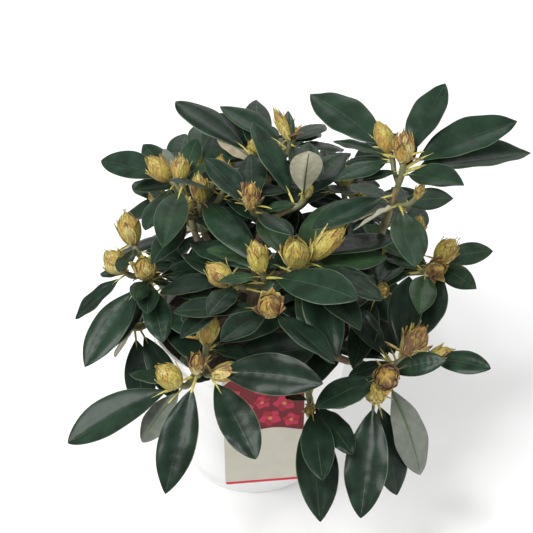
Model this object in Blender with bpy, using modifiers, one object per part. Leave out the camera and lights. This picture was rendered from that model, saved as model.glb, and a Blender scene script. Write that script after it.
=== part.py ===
"""A rhododendron in its nursery pot, in winter bud.

The plant is worked out in millimetres and written in metres, with +Z up and the
origin under the middle of the pot. A short main stem forks just above the potting
mix. Each bough is one tapering limb that ends in the foot of a foliage mass, and
each mass branches from one stem into shoots that carry a bud and a whorl of leaves.
"""

import math
import random
from typing import NamedTuple

import bmesh
import bpy
from mathutils import Matrix, Vector
from mathutils.bvhtree import BVHTree

MM = 0.001
GAP = 0.3
GOLDEN_ANGLE = 137.5

# Pot, potting mix and label
POT_HEIGHT = 190.0
POT_BASE_RADIUS = 78.0
POT_WALL = 2.2
RIM_RADIUS = 105.0
RIM_DEPTH = 16.0
RIM_STEP = 2.4
RIM_ROUND = 1.2
POT_STEPS = 24
SOIL_LEVEL = 172.0
SOIL_DISH = 3.0
LABEL_WIDTH = 80.0
LABEL_BOTTOM = 50.0
LABEL_TOP = 196.0
LABEL_THICKNESS = 0.9
LABEL_CORNER = 4.0
LABEL_BEARING = -84.0
HOOK_WIDTH = 24.0
HOOK_DROP = 14.0

# Main stem and boughs
STEM_TOP = 292.0
STEM_LEAN = (9.0, -4.0)
STEM_BEND_LOW = (5.0, 3.0, 36.0)
STEM_BEND_HIGH = (-3.0, 4.0, -40.0)
STEM_FLARE = 17.0
STEM_FLARE_HEIGHT = 9.0
STEM_FOOT = 10.5
STEM_TIP = 5.5
STEM_SIDES = 10
STEM_RINGS = 8
BOUGH_SIDES = 6
BOUGH_RINGS = 7
BOUGH_FOOT = 4.7
BOUGH_TIP = 3.3
BOUGH_CLIMB = 0.55
BOUGH_CLIMBS = (0, 5, -5, 10, 15, 20, 25)
BOUGH_BOWS = (0, 0.3, -0.3, 0.6, -0.6)
BOUGH_NUDGES = [(climb, bow) for climb in BOUGH_CLIMBS for bow in BOUGH_BOWS]

# How far along a limb its bend is steered from each end
LEAVE_SHARE = 0.4
ARRIVE_SHARE = 0.3

# Twigs, leaves and buds
TWIG_SIDES = 3
TWIG_RINGS = 4
TWIG_TIP = 2.5
FORK_TIP = 2.1
TWIG_BOW = 0.12
TWIG_TRIES = 12
HUB_SHARE = 0.35
LEAF_HALF_THICKNESS = 0.65
PETIOLE_HALF_WIDTH = 1.3
LEAF_WIDTH_SHARE = 0.34
LEAF_ARCH = 26.0
LEAF_COUNT = 5
LEAF_SPACING = 2.6
LEAF_FIRST = 5.0
OLDER_START = 34.0
OLDER_EVERY = 2
WIDTH_SPREAD = (0.92, 1.12)
ROLL_SPREAD = 14.0
NEW_LENGTHS = (72.0, 104.0)
NEW_RISES = (-8.0, 22.0)
NEW_RISE_STEP = 5.0
OLDER_LENGTHS = (80.0, 108.0)
OLDER_RISES = (-34.0, -6.0)
CLEARANCE = 0.45
BUD_SIDES = 5

# Turns and lifts tried for a leaf, in order, until it is clear of the rest
SMALL_NUDGES = [(turn, lift) for lift in (0, 6, -6, 12, -12, 18) for turn in (0, 6, -6, 12, -12)]
WIDE_NUDGES = [(turn, lift) for turn in (0, 16, -16, 32, -32) for lift in (0, 12, -12, 24)]

# Share of the leaf's length, and half width there as a share of the widest
LEAF_STATIONS = ((0.14, 0.0), (0.42, 0.92), (0.76, 0.84))
# Share of the bud's length, and half width there as a share of the widest
BUD_STATIONS = ((0.0, 0.35), (0.36, 1.0), (0.74, 0.66))


class Shoot(NamedTuple):
    """Where a shoot ends, its bud (bearing, rise, length, width) and the leaves that
    stand out on it (bearing, rise, length and, where it is turned over, roll), in
    millimetres and degrees. The whorl is filled up to so many leaves and starts so far
    back from the tip. A fork gives the shoot it leaves and how far back along it."""

    tip: tuple
    bud: tuple
    leaves: tuple = ()
    whorl: int = LEAF_COUNT
    first: float = LEAF_FIRST
    fork: tuple = ()


class Mass(NamedTuple):
    """A foliage mass: its bough's start up the main stem, its foot and its shoots."""

    start: float
    foot: tuple
    shoots: tuple


MASSES = {
    "top_right": Mass(282, (123, -26, 312), (
        Shoot((139, -19, 385), (90, 60, 30, 19),
              ((59, 29, 97), (22, 12, 122, 14), (15, 0, 130, 6), (-52, 21, 82, 28), (70, 32, 45))),
        Shoot((128, -5, 388), (130, 50, 32, 17),
              ((127, 5, 122, -20), (150, 0, 62), (-147, 2, 66)), whorl=3, fork=(1, 22)),
        Shoot((150, -38, 358), (40, 55, 16, 8),
              ((-88, 4, 102), (-133, 6, 66, 60), (18, -4, 60, 60), (123, -11, 70),
               (-142, 4, 52, 50)), whorl=3, first=20, fork=(1, 48)),
    )),
    "right": Mass(214, (120, -14, 242), (
        Shoot((180, -16, 268), (20, 50, 30, 20),
              ((11, 6, 62, 55), (-52, 8, 62, 34)), whorl=2),
        Shoot((172, -28, 266), (-60, 40, 26, 17),
              ((-101, 8, 80), (140, 16, 80), (-150, -10, 82)), whorl=3),
        Shoot((160, 30, 262), (50, 50, 26, 16),
              ((110, -12, 80), (-115, -5, 87), (84, -16, 80)), whorl=3),
        Shoot((120, -58, 262), (-60, 50, 20, 13),
              ((35, 8, 70), (150, -12, 80), (-110, -24, 84), (95, -6, 80)), whorl=4),
    )),
    "lower_right": Mass(191, (92, -98, 212), (
        Shoot((141, -124, 240), (40, 48, 35, 22),
              ((70, 14, 108), (86, 28, 92), (101, -8, 80), (145, -28, 85), (118, -20, 96),
               (125, 22, 70)), whorl=6),
        Shoot((125, -138, 228), (-105, 45, 26, 22),
              ((-140, 4, 82), (-50, -58, 104, 180), (-15, 31, 64, 36)), whorl=3),
        Shoot((114, -147, 215), (-100, 55, 22, 20),
              ((-100, -38, 115), (-62, -62, 106)), whorl=2),
        Shoot((163, -119, 235), (-10, 30, 26, 14), ((-32, 17, 68, 20),), whorl=1),
    )),
    "front": Mass(204, (48, -96, 206), (
        Shoot((55, -139, 191), (-100, 30, 16, 9),
              ((-85, -2, 92), (-86, -26, 114), (-62, 0, 78), (84, 4, 93)), whorl=4),
    )),
    "lower_left": Mass(196, (-44, -98, 212), (
        Shoot((-66, -145, 225), (160, 42, 28, 22),
              ((-160, -18, 118), (-140, -38, 66, 165), (160, -5, 60)), whorl=3),
        Shoot((-50, -144, 240), (-60, 82, 26, 14), ((-108, -38, 112),), whorl=2),
        Shoot((-36, -145, 238), (5, 12, 30, 17),
              ((-63, -12, 98), (-22, 14, 116, 38), (25, -6, 115, 30)), whorl=3),
        Shoot((-41, -127, 262), (70, 66, 30, 20),
              ((105, -10, 75), (118, -6, 98), (20, -20, 45), (32, 6, 98)), whorl=4),
    )),
    "left": Mass(219, (-84, -18, 240), (
        Shoot((-118, 3, 275), (115, 54, 34, 22), ((-100, 12, 56), (120, -50, 60)), whorl=2),
        Shoot((-126, -24, 262), (160, 50, 28, 22), ((-150, -30, 68), (150, -20, 40)), whorl=2),
        Shoot((-103, -44, 270), (-60, 82, 27, 20),
              ((-125, -25, 104), (-95, 20, 58), (72, -5, 75), (-75, -12, 76), (-92, 4, 64),
               (12, 4, 84, 20), (36, -12, 80))),
    )),
    "upper_left": Mass(252, (-48, 12, 284), (
        Shoot((-82, 48, 322), (156, 40, 32, 20),
              ((148, -3, 92, -30), (-108, -3, 76), (119, 50, 40, 170)), whorl=3),
        Shoot((-70, 28, 335), (90, 50, 24, 17), ((75, 23, 55), (-98, -3, 95)), whorl=2),
        Shoot((-50, -2, 330), (100, 70, 28, 16), ((91, -2, 75),), whorl=1),
        Shoot((-36, 21, 340), (60, 60, 24, 15), ((52, -17, 85), (85, 4, 96), (-16, -9, 84)), whorl=3),
        Shoot((-27, 6, 338), (70, 55, 26, 15), ((91, -4, 70),), whorl=3),
        Shoot((-64, -1, 315), (94, 30, 20, 14), ((115, -6, 70), (-114, -2, 80)), whorl=2),
    )),
    "top": Mass(275, (10, 44, 302), (
        Shoot((1, 57, 345), (90, 45, 18, 12),
              ((145, 18, 105), (121, 3, 95), (91, 12, 95), (128, -12, 75), (156, 28, 52, 175))),
        Shoot((37, 72, 352), (133, 50, 36, 12),
              ((60, -12, 80), (36, -22, 80), (153, 11, 92), (88, 47, 42), (100, -20, 80))),
        Shoot((39, 77, 350), (60, 55, 14, 8), ((-74, 8, 92), (63, -12, 78), (-127, 0, 82)), whorl=3),
    )),
    "crown_centre": Mass(289, (14, -14, 310), (
        Shoot((-1, -35, 345), (-80, 86, 30, 16),
              ((92, 6, 85), (-62, 16, 76), (130, 12, 80)), whorl=3),
        Shoot((51, -10, 340), (40, 70, 16, 9),
              ((-85, 66, 85), (84, 8, 90), (60, 4, 90), (76, -12, 60), (112, 29, 100))),
    )),
    "centre": Mass(240, (14, -58, 268), (
        Shoot((9, -95, 318), (120, 62, 30, 18),
              ((114, 8, 110), (136, -8, 100), (-40, 16, 108, 16), (95, -4, 58))),
        Shoot((40, -91, 322), (-120, 84, 30, 24), ((114, 1, 80), (65, 6, 105))),
        Shoot((53, -84, 325), (27, 36, 44, 19),
              ((30, -6, 98), (-46, 6, 93), (-72, -22, 98), (-59, -4, 96))),
        Shoot((-18, -90, 300), (155, 28, 30, 20),
              ((155, -24, 90), (-112, 14, 70), (-132, -8, 80))),
        Shoot((17, -129, 300), (-100, 66, 24, 21),
              ((-55, 4, 94), (-126, 12, 74), (-176, 2, 88)), whorl=3),
    )),
    "right_back": Mass(228, (96, 44, 250), (
        Shoot((140, 62, 256), (30, 50, 30, 19),
              ((62, -10, 86), (118, -6, 80), (90, -30, 84)), whorl=3),
        Shoot((112, 96, 256), (70, 45, 27, 18)),
        Shoot((150, 58, 244), (20, 30, 24, 17),
              ((75, -20, 88), (-40, -24, 52), (122, -20, 84), (60, -34, 72)), whorl=4),
        Shoot((92, 70, 300), (60, 65, 28, 17)),
    )),
    "back": Mass(234, (14, 92, 252), (
        Shoot((8, 128, 298), (90, 50, 30, 19)),
        Shoot((44, 134, 276), (70, 40, 26, 18)),
        Shoot((-28, 134, 270), (110, 40, 28, 20)),
        Shoot((12, 150, 252), (90, 20, 22, 16)),
    )),
    "back_left": Mass(224, (-62, 66, 246), (
        Shoot((-84, 96, 288), (130, 50, 30, 20),
              ((122, 10, 72), (92, 8, 88), (60, 0, 84), (140, -20, 76)), whorl=4),
        Shoot((-92, 92, 258), (150, 40, 28, 19),
              ((122, 2, 88), (78, 6, 84), (100, -34, 80)), whorl=3),
        Shoot((-62, 122, 264), (110, 35, 26, 18)),
        Shoot((-54, 78, 316), (110, 65, 24, 16),
              ((92, 4, 86), (138, -14, 70), (58, 8, 88), (-175, -8, 70)), whorl=4),
    )),
    "low_right": Mass(190, (92, 20, 214), (
        Shoot((126, 40, 226), (20, 30, 20, 13),
              ((-50, -42, 88), (36, -60, 82), (66, -34, 88), (100, -24, 80))),
        Shoot((104, 88, 220), (50, 25, 20, 13),
              ((40, -40, 92), (75, -48, 96), (110, -30, 90), (0, -50, 84)), whorl=4),
    )),
    "low_left": Mass(184, (-86, -46, 208), (
        Shoot((-118, -62, 222), (-160, 30, 20, 13),
              ((-80, -50, 84), (150, -60, 60), (-60, -24, 84), (112, -30, 78)), whorl=4),
        Shoot((-100, 22, 216), (150, 25, 20, 13),
              ((100, -20, 84), (140, -44, 84), (60, -16, 80), (172, -58, 80)), whorl=4),
    )),
    "low_back": Mass(193, (-8, 96, 210), (
        Shoot((-16, 138, 220), (100, 25, 20, 13), ((60, -42, 96), (100, -46, 104), (140, -40, 96))),
        Shoot((42, 142, 216), (70, 25, 20, 13), ((70, -50, 98), (30, -40, 92), (105, -36, 92))),
        Shoot((-72, 118, 216), (125, 25, 20, 13), ((125, -50, 98), (165, -40, 88), (90, -36, 92))),
    )),
}


class Body(NamedTuple):
    """A closed loft: its corners and its faces."""

    corners: list
    faces: list


class Leaf(NamedTuple):
    root: Vector
    bearing: float
    rise: float
    length: float
    width: float
    roll: float


def heading(bearing, rise):
    b = math.radians(bearing)
    r = math.radians(rise)
    return Vector((math.cos(r) * math.cos(b), math.cos(r) * math.sin(b), math.sin(r)))


def loft(rings):
    """A closed body through rings of corners, a ring of one corner being a point."""
    corners = []
    faces = []
    starts = []
    for ring in rings:
        starts.append(len(corners))
        corners.extend(ring)
    for (a, first), (b, second) in zip(
        zip(starts, rings), zip(starts[1:], rings[1:])
    ):
        sides = max(len(first), len(second))
        for i in range(sides):
            j = (i + 1) % sides
            if len(second) == 1:
                faces.append((a + i, a + j, b))
            elif len(first) == 1:
                faces.append((a, b + j, b + i))
            else:
                faces.append((a + i, a + j, b + j))
                faces.append((a + i, b + j, b + i))
    if len(rings[0]) > 1:
        faces.append(tuple(reversed(range(len(rings[0])))))
    if len(rings[-1]) > 1:
        faces.append(tuple(range(starts[-1], len(corners))))
    return Body(corners, faces)


def frames_along(path):
    """Two directions across the path at each of its points, carried on without twist."""
    frames = []
    across = None
    for i, point in enumerate(path):
        along = (path[min(i + 1, len(path) - 1)] - path[max(i - 1, 0)]).normalized()
        if across is None:
            guide = Vector((0, 0, 1)) if abs(along.z) < 0.9 else Vector((1, 0, 0))
            across = guide.cross(along)
        across = (across - along * across.dot(along)).normalized()
        frames.append((across, along.cross(across)))
    return frames


def tube_rings(path, radii, sides, grow=0.0):
    rings = []
    for point, (across, other), radius in zip(path, frames_along(path), radii):
        ring = []
        for i in range(sides):
            turn = math.tau * i / sides
            spoke = across * math.cos(turn) + other * math.sin(turn)
            ring.append(point + spoke * (radius + grow))
        rings.append(ring)
    return rings


def tube(path, radii, sides, grow=0.0):
    return loft(tube_rings(path, radii, sides, grow))


def bezier(a, b, c, d, count):
    points = []
    for i in range(count):
        t = i / (count - 1)
        s = 1 - t
        points.append(a * s**3 + b * 3 * s * s * t + c * 3 * s * t * t + d * t**3)
    return points


def spread(first, last, count):
    """Values that run evenly from first to last."""
    return [first + (last - first) * i / (count - 1) for i in range(count)]


def leaf_frame(leaf, share):
    """The midrib's point at this share of the length, with the way across and the way up."""
    bend = math.radians(LEAF_ARCH)
    base = math.radians(leaf.rise) + bend / 2
    here = base - bend * share
    out = leaf.length * (math.sin(base) - math.sin(here)) / bend
    up = leaf.length * (math.cos(here) - math.cos(base)) / bend
    point = leaf.root + heading(leaf.bearing, 0) * out + Vector((0, 0, up))
    along = heading(leaf.bearing, math.degrees(here))
    across = heading(leaf.bearing - 90, 0)
    turn = Matrix.Rotation(math.radians(leaf.roll), 3, along)
    return point, turn @ across, turn @ across.cross(along)


def leaf_section(leaf, share, half_width, grow):
    """A flat upper face with a keel below it."""
    point, across, up = leaf_frame(leaf, share)
    half = half_width + grow
    thick = LEAF_HALF_THICKNESS + grow
    return [
        point - across * half + up * thick,
        point - up * thick,
        point + across * half + up * thick,
    ]


def leaf_body(leaf, grow=0.0, whole=True):
    """The leaf as a thin lens with a stalk, or its blade alone."""
    rings = []
    if whole:
        rings.append(leaf_section(leaf, 0, PETIOLE_HALF_WIDTH, grow))
    for share, wide in LEAF_STATIONS:
        half = max(wide * leaf.width / 2, PETIOLE_HALF_WIDTH)
        rings.append(leaf_section(leaf, share, half, grow))
    rings.append([leaf_frame(leaf, 1.0)[0]])
    return loft(rings)


def bud_body(base, bud, grow=0.0):
    """A plump spindle that ends in a point."""
    bearing, rise, length, width = bud
    along = heading(bearing, rise)
    path = [base + along * (length * share) for share, _ in BUD_STATIONS]
    rings = tube_rings(path, [width / 2 * wide for _, wide in BUD_STATIONS], BUD_SIDES, grow)
    return loft([*rings, [base + along * (length + grow)]])


def stem_path():
    """The main stem's line, which leans a little and straightens."""
    foot = Vector((0, 0, SOIL_LEVEL + GAP))
    collar = foot + Vector((0, 0, STEM_FLARE_HEIGHT))
    top = Vector((*STEM_LEAN, STEM_TOP))
    low = collar + Vector(STEM_BEND_LOW)
    high = top + Vector(STEM_BEND_HIGH)
    return [foot, *bezier(collar, low, high, top, STEM_RINGS)]


def stem_body(grow=0.0):
    path = stem_path()
    path[-1] += (path[-1] - path[-2]).normalized() * grow
    radii = [STEM_FLARE, *spread(STEM_FOOT, STEM_TIP, len(path) - 1)]
    return tube(path, radii, STEM_SIDES, grow)


def stem_point(height):
    path = stem_path()
    for below, above in zip(path, path[1:]):
        if above.z >= height:
            return below.lerp(above, (height - below.z) / (above.z - below.z))
    return path[-1]


def bough_path(mass, climb, bow):
    """A bough's line from the main stem's axis to its mass, with a sideways bow."""
    start = stem_point(mass.start + climb)
    foot = Vector(mass.foot)
    reach = (foot - start).length
    out = Vector((foot.x - start.x, foot.y - start.y, 0)).normalized()
    leave = (out + Vector((0, 0, BOUGH_CLIMB)) + Vector((-out.y, out.x, 0)) * bow).normalized()
    arrive = (middle_of(mass) - foot).normalized()
    end = foot - arrive * BOUGH_TIP
    low = start + leave * reach * LEAVE_SHARE
    high = end - arrive * reach * ARRIVE_SHARE
    return [*bezier(start, low, high, end, BOUGH_RINGS - 1), foot]


def route_boughs():
    """Each bough's line, with the first climb and bow that keep it clear of the others."""
    routes = {}
    taken = []
    stem = stem_path()
    for name, mass in MASSES.items():
        for climb, bow in BOUGH_NUDGES:
            path = bough_path(mass, climb, bow)
            fine = [a.lerp(b, i / 4) for a, b in zip(path, path[1:]) for i in range(4)]
            free = [p for p in fine if min((p - s).xy.length for s in stem) > STEM_TIP]
            body = tube(free, [BOUGH_FOOT] * len(free), BOUGH_SIDES, CLEARANCE)
            tree = BVHTree.FromPolygons(body.corners, body.faces)
            if not any(tree.overlap(other) for other in taken):
                break
        routes[name] = path
        taken.append(tree)
    return routes


def middle_of(mass):
    total = Vector((0, 0, 0))
    for shoot in mass.shoots:
        total += Vector(shoot.tip)
    return total / len(mass.shoots)


def bough_body(path):
    return tube(path, spread(BOUGH_FOOT, BOUGH_TIP, BOUGH_RINGS), BOUGH_SIDES)


class Growth:
    """Grows the masses, keeping each clear of the limbs and of the other masses."""

    def __init__(self):
        self.solids = []
        self.bodies = {name: [] for name in MASSES}
        self.leaves = {name: [] for name in MASSES}
        self.buds = {name: [] for name in MASSES}
        self.twigs = {name: [] for name in MASSES}

    def keep(self, owner, body, shoot=None):
        self.solids.append((owner, shoot, BVHTree.FromPolygons(body.corners, body.faces)))

    def touches(self, owner, whole, blade=None, shoot=None):
        """True if the whole cuts another owner's solid, or the blade cuts its own."""
        whole_tree = BVHTree.FromPolygons(whole.corners, whole.faces)
        blade_tree = blade and BVHTree.FromPolygons(blade.corners, blade.faces)
        for other, other_shoot, tree in self.solids:
            if other != owner:
                if whole_tree.overlap(tree):
                    return True
            elif blade_tree and (other_shoot is None or other_shoot != shoot):
                if blade_tree.overlap(tree):
                    return True
        return False

    def add_twig(self, name, index, path, radii):
        body = tube(path, radii, TWIG_SIDES)
        self.keep(name, body, ("twig", index))
        self.bodies[name].append(body)
        self.twigs[name].append((path, radii))

    def add_leaf(self, name, index, leaf, nudges):
        for turn, lift in nudges:
            tried = leaf._replace(bearing=leaf.bearing + turn, rise=leaf.rise + lift)
            whole = leaf_body(tried, CLEARANCE)
            blade = leaf_body(tried, CLEARANCE, whole=False)
            body = leaf_body(tried)
            if self.touches(name, whole, blade, ("twig", index)) or self.touches(name, body):
                continue
            self.keep(name, body)
            self.bodies[name].append(body)
            self.leaves[name].append(tried)
            return True
        return False

    def add_bud(self, name, base, bud, index):
        body = bud_body(base, bud)
        if self.touches(name, bud_body(base, bud, CLEARANCE)):
            return
        self.keep(name, body, ("twig", index))
        self.bodies[name].append(body)
        self.buds[name].append((base, bud))


def twig_path(begin, shoot, rng):
    """A twig's line from where it begins to the shoot's tip, with a bow of its own."""
    tip = Vector(shoot.tip)
    reach = (tip - begin).length
    bow = Vector((rng.uniform(-1, 1), rng.uniform(-1, 1), rng.uniform(-0.3, 0.8)))
    aim = heading(*shoot.bud[:2])
    low = begin.lerp(tip, LEAVE_SHARE) + bow * reach * TWIG_BOW
    return bezier(begin, low, tip - aim * reach * ARRIVE_SHARE, tip + aim, TWIG_RINGS)


def grow_twigs(growth, name, mass, rng):
    """The mass's own stem from its foot to a hub, and a twig to each tip from there or a fork."""
    foot = Vector(mass.foot)
    start = foot + (middle_of(mass) - foot).normalized() * GAP
    hub = foot.lerp(middle_of(mass), HUB_SHARE)
    growth.add_twig(name, 0, [start, start.lerp(hub, 0.5), hub], [BOUGH_TIP] * 3)
    paths = []
    for index, shoot in enumerate(mass.shoots, 1):
        begin = hub
        radii = spread(BOUGH_TIP - 0.1, TWIG_TIP, TWIG_RINGS)
        if shoot.fork:
            leaves_from, back = shoot.fork
            begin = point_back(paths[leaves_from - 1], back)
            radii = spread(TWIG_TIP, FORK_TIP, TWIG_RINGS)
        for _ in range(TWIG_TRIES):
            path = twig_path(begin, shoot, rng)
            if not growth.touches(name, tube(path, radii, TWIG_SIDES, CLEARANCE)):
                break
        growth.add_twig(name, index, path, radii)
        paths.append(path)
    return paths


def point_back(path, distance):
    """The point this far back from the path's end."""
    for a, b in zip(reversed(path), reversed(path[:-1])):
        step = (a - b).length
        if distance <= step:
            return a.lerp(b, distance / step)
        distance -= step
    return path[0]


def new_leaf(path, back, bearing, rise, length, rng):
    root = point_back(path, back)
    width = length * LEAF_WIDTH_SHARE * rng.uniform(*WIDTH_SPREAD)
    return Leaf(root, bearing, rise, length, width, rng.uniform(-ROLL_SPREAD, ROLL_SPREAD))


def grow_named_leaves(growth, name, mass, paths, rng):
    for index, (shoot, path) in enumerate(zip(mass.shoots, paths), 1):
        for order, (bearing, rise, length, *turned) in enumerate(shoot.leaves):
            back = shoot.first + LEAF_SPACING * order
            leaf = new_leaf(path, back, bearing, rise, length, rng)
            if turned:
                leaf = leaf._replace(roll=turned[0])
            growth.add_leaf(name, index, leaf, SMALL_NUDGES)


def grow_rule_leaves(growth, name, mass, paths, rng):
    """Fills each whorl up by the golden angle, then adds older leaves further down."""
    for index, (shoot, path) in enumerate(zip(mass.shoots, paths), 1):
        bearing = rng.uniform(0, 360)
        for order in range(len(shoot.leaves), shoot.whorl):
            bearing += GOLDEN_ANGLE
            rise = rng.uniform(*NEW_RISES) - NEW_RISE_STEP * order
            length = rng.uniform(*NEW_LENGTHS)
            back = shoot.first + LEAF_SPACING * order
            leaf = new_leaf(path, back, bearing, rise, length, rng)
            growth.add_leaf(name, index, leaf, WIDE_NUDGES)
        if index % OLDER_EVERY == 1 and shoot.whorl == LEAF_COUNT:
            rise = rng.uniform(*OLDER_RISES)
            length = rng.uniform(*OLDER_LENGTHS)
            leaf = new_leaf(path, OLDER_START, bearing + GOLDEN_ANGLE, rise, length, rng)
            growth.add_leaf(name, index, leaf, WIDE_NUDGES)


def grow_plant():
    growth = Growth()
    growth.keep("pot", pot_guard())
    growth.keep("label", label_guard())
    growth.keep("stem", stem_body())
    for name, path in route_boughs().items():
        growth.keep("bough_" + name, bough_body(path))
    rngs = {name: random.Random(7 + 11 * i) for i, name in enumerate(MASSES)}
    paths = {name: grow_twigs(growth, name, mass, rngs[name]) for name, mass in MASSES.items()}
    for name, mass in MASSES.items():
        for index, (shoot, path) in enumerate(zip(mass.shoots, paths[name]), 1):
            growth.add_bud(name, Vector(shoot.tip), shoot.bud, index)
    for name, mass in MASSES.items():
        grow_named_leaves(growth, name, mass, paths[name], rngs[name])
    for name, mass in MASSES.items():
        grow_rule_leaves(growth, name, mass, paths[name], rngs[name])
    return growth


def pot_guard():
    """The space of the pot, its mix and the label, which foliage stays out of."""
    heights = (0, POT_HEIGHT - RIM_DEPTH, POT_HEIGHT + 1)
    path = [Vector((0, 0, height)) for height in heights]
    return tube(path, (POT_BASE_RADIUS, RIM_RADIUS + 1, RIM_RADIUS + 2), POT_STEPS)


def label_guard():
    """The space of the label's card, which foliage stays out of."""
    out = heading(LABEL_BEARING, 0)
    across = heading(LABEL_BEARING + 90, 0) * (LABEL_WIDTH / 2 + LABEL_THICKNESS)
    rings = []
    for height in (LABEL_BOTTOM - 1, LABEL_TOP + 1):
        near = out * (RIM_RADIUS - 1) + Vector((0, 0, height))
        far = out * (RIM_RADIUS + 2 * LABEL_THICKNESS) + Vector((0, 0, height))
        rings.append([near - across, far - across, far + across, near + across])
    return loft(rings)


def material(name, colour, roughness):
    made = bpy.data.materials.new(name)
    made.use_nodes = True
    shader = made.node_tree.nodes["Principled BSDF"]
    shader.inputs["Base Color"].default_value = (*colour, 1)
    shader.inputs["Roughness"].default_value = roughness
    shader.inputs["Metallic"].default_value = 0.0
    return made


def new_object(name, body, collection, finish=None):
    mesh = bpy.data.meshes.new(name)
    mesh.from_pydata([corner * MM for corner in body.corners], [], body.faces)
    mesh.validate()
    bm = bmesh.new()
    bm.from_mesh(mesh)
    bmesh.ops.recalc_face_normals(bm, faces=bm.faces)
    bm.to_mesh(mesh)
    bm.free()
    made = bpy.data.objects.new(name, mesh)
    collection.objects.link(made)
    if finish:
        mesh.materials.append(finish)
    return made


def helper_collection(name):
    made = bpy.data.collections.new(name)
    bpy.context.scene.collection.children.link(made)
    made.hide_render = True
    return made


def apply_modifiers(target):
    """Bakes the object's modifiers into its mesh."""
    graph = bpy.context.evaluated_depsgraph_get()
    mesh = bpy.data.meshes.new_from_object(target.evaluated_get(graph))
    old = target.data
    target.modifiers.clear()
    target.data = mesh
    mesh.name = target.name
    bpy.data.meshes.remove(old)


def signed_volume(faces):
    total = 0.0
    for face in faces:
        corners = [loop.vert.co for loop in face.loops]
        for b, c in zip(corners[1:], corners[2:]):
            total += corners[0].dot(b.cross(c)) / 6
    return total


def keep_main_body(target):
    """Drops loose scrap and fills any hollow that fusing sealed, keeping the largest shell."""
    bm = bmesh.new()
    bm.from_mesh(target.data)
    bm.faces.ensure_lookup_table()
    seen = set()
    shells = []
    for face in bm.faces:
        if face in seen:
            continue
        shell = []
        queue = [face]
        seen.add(face)
        while queue:
            here = queue.pop()
            shell.append(here)
            for edge in here.edges:
                for other in edge.link_faces:
                    if other not in seen:
                        seen.add(other)
                        queue.append(other)
        shells.append(shell)
    main = max(shells, key=signed_volume)
    loose = [face for shell in shells if shell is not main for face in shell]
    bmesh.ops.delete(bm, geom=loose, context="FACES")
    bm.to_mesh(target.data)
    bm.free()


def fuse(name, bodies, collection, finish):
    """Joins the bodies of one mass into a single solid."""
    pieces = helper_collection(name + "_pieces")
    for i, body in enumerate(bodies[1:]):
        new_object(f"{name}_piece_{i}", body, pieces)
    main = new_object(name, bodies[0], collection, finish)
    joined = main.modifiers.new("join", "BOOLEAN")
    joined.operation = "UNION"
    joined.operand_type = "COLLECTION"
    joined.collection = pieces
    joined.solver = "EXACT"
    apply_modifiers(main)
    for piece in list(pieces.objects):
        bpy.data.meshes.remove(piece.data)
    bpy.data.collections.remove(pieces)
    keep_main_body(main)
    return main


def turned(name, profile, collection, finish):
    """A solid turned about the Z axis from its closed profile in the XZ plane."""
    mesh = bpy.data.meshes.new(name)
    corners = [(radius * MM, 0, height * MM) for radius, height in profile]
    mesh.from_pydata(corners, [(i, i + 1) for i in range(len(corners) - 1)], [])
    made = bpy.data.objects.new(name, mesh)
    collection.objects.link(made)
    screw = made.modifiers.new("turn", "SCREW")
    screw.axis = "Z"
    screw.steps = POT_STEPS
    screw.render_steps = POT_STEPS
    screw.use_merge_vertices = True
    screw.merge_threshold = 0.00001
    screw.use_smooth_shade = True
    mesh.materials.append(finish)
    return made


def wall_radius(height):
    """The pot's outer radius below the rim's band."""
    share = height / (POT_HEIGHT - RIM_DEPTH)
    return POT_BASE_RADIUS + (RIM_RADIUS - RIM_STEP - POT_BASE_RADIUS) * share


def make_pot(collection):
    finish = material("pot_plastic", (0.86, 0.86, 0.84), 0.42)
    band = POT_HEIGHT - RIM_DEPTH
    inner_top = wall_radius(band) - POT_WALL
    profile = [
        (0, POT_WALL + 1),
        (POT_BASE_RADIUS - POT_WALL, POT_WALL + 1),
        (inner_top, band),
        (RIM_RADIUS - POT_WALL - 1, band + 2),
        (RIM_RADIUS - POT_WALL - 1, POT_HEIGHT - RIM_ROUND),
        (RIM_RADIUS - POT_WALL / 2 - 0.5, POT_HEIGHT),
        (RIM_RADIUS - RIM_ROUND, POT_HEIGHT),
        (RIM_RADIUS, POT_HEIGHT - RIM_ROUND),
        (RIM_RADIUS, band + 1),
        (RIM_RADIUS - 1, band),
        (wall_radius(band), band - 1),
        (POT_BASE_RADIUS + 0.4, 2.5),
        (POT_BASE_RADIUS - 2, 0),
        (0, 0),
    ]
    return turned("pot", profile, collection, finish)


def make_potting_mix(collection):
    finish = material("potting_mix", (0.035, 0.027, 0.02), 0.95)
    foot = POT_WALL + 1 + GAP
    band = POT_HEIGHT - RIM_DEPTH
    slope = (wall_radius(band) - POT_BASE_RADIUS) / band
    clear = POT_WALL + 2 * GAP
    edge = SOIL_LEVEL - SOIL_DISH
    profile = [
        (0, SOIL_LEVEL),
        (STEM_FLARE + 8, SOIL_LEVEL),
        (60, edge),
        (POT_BASE_RADIUS - clear + slope * edge, edge),
        (POT_BASE_RADIUS - clear, foot),
        (0, foot),
    ]
    return turned("potting_mix", profile, collection, finish)


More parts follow.
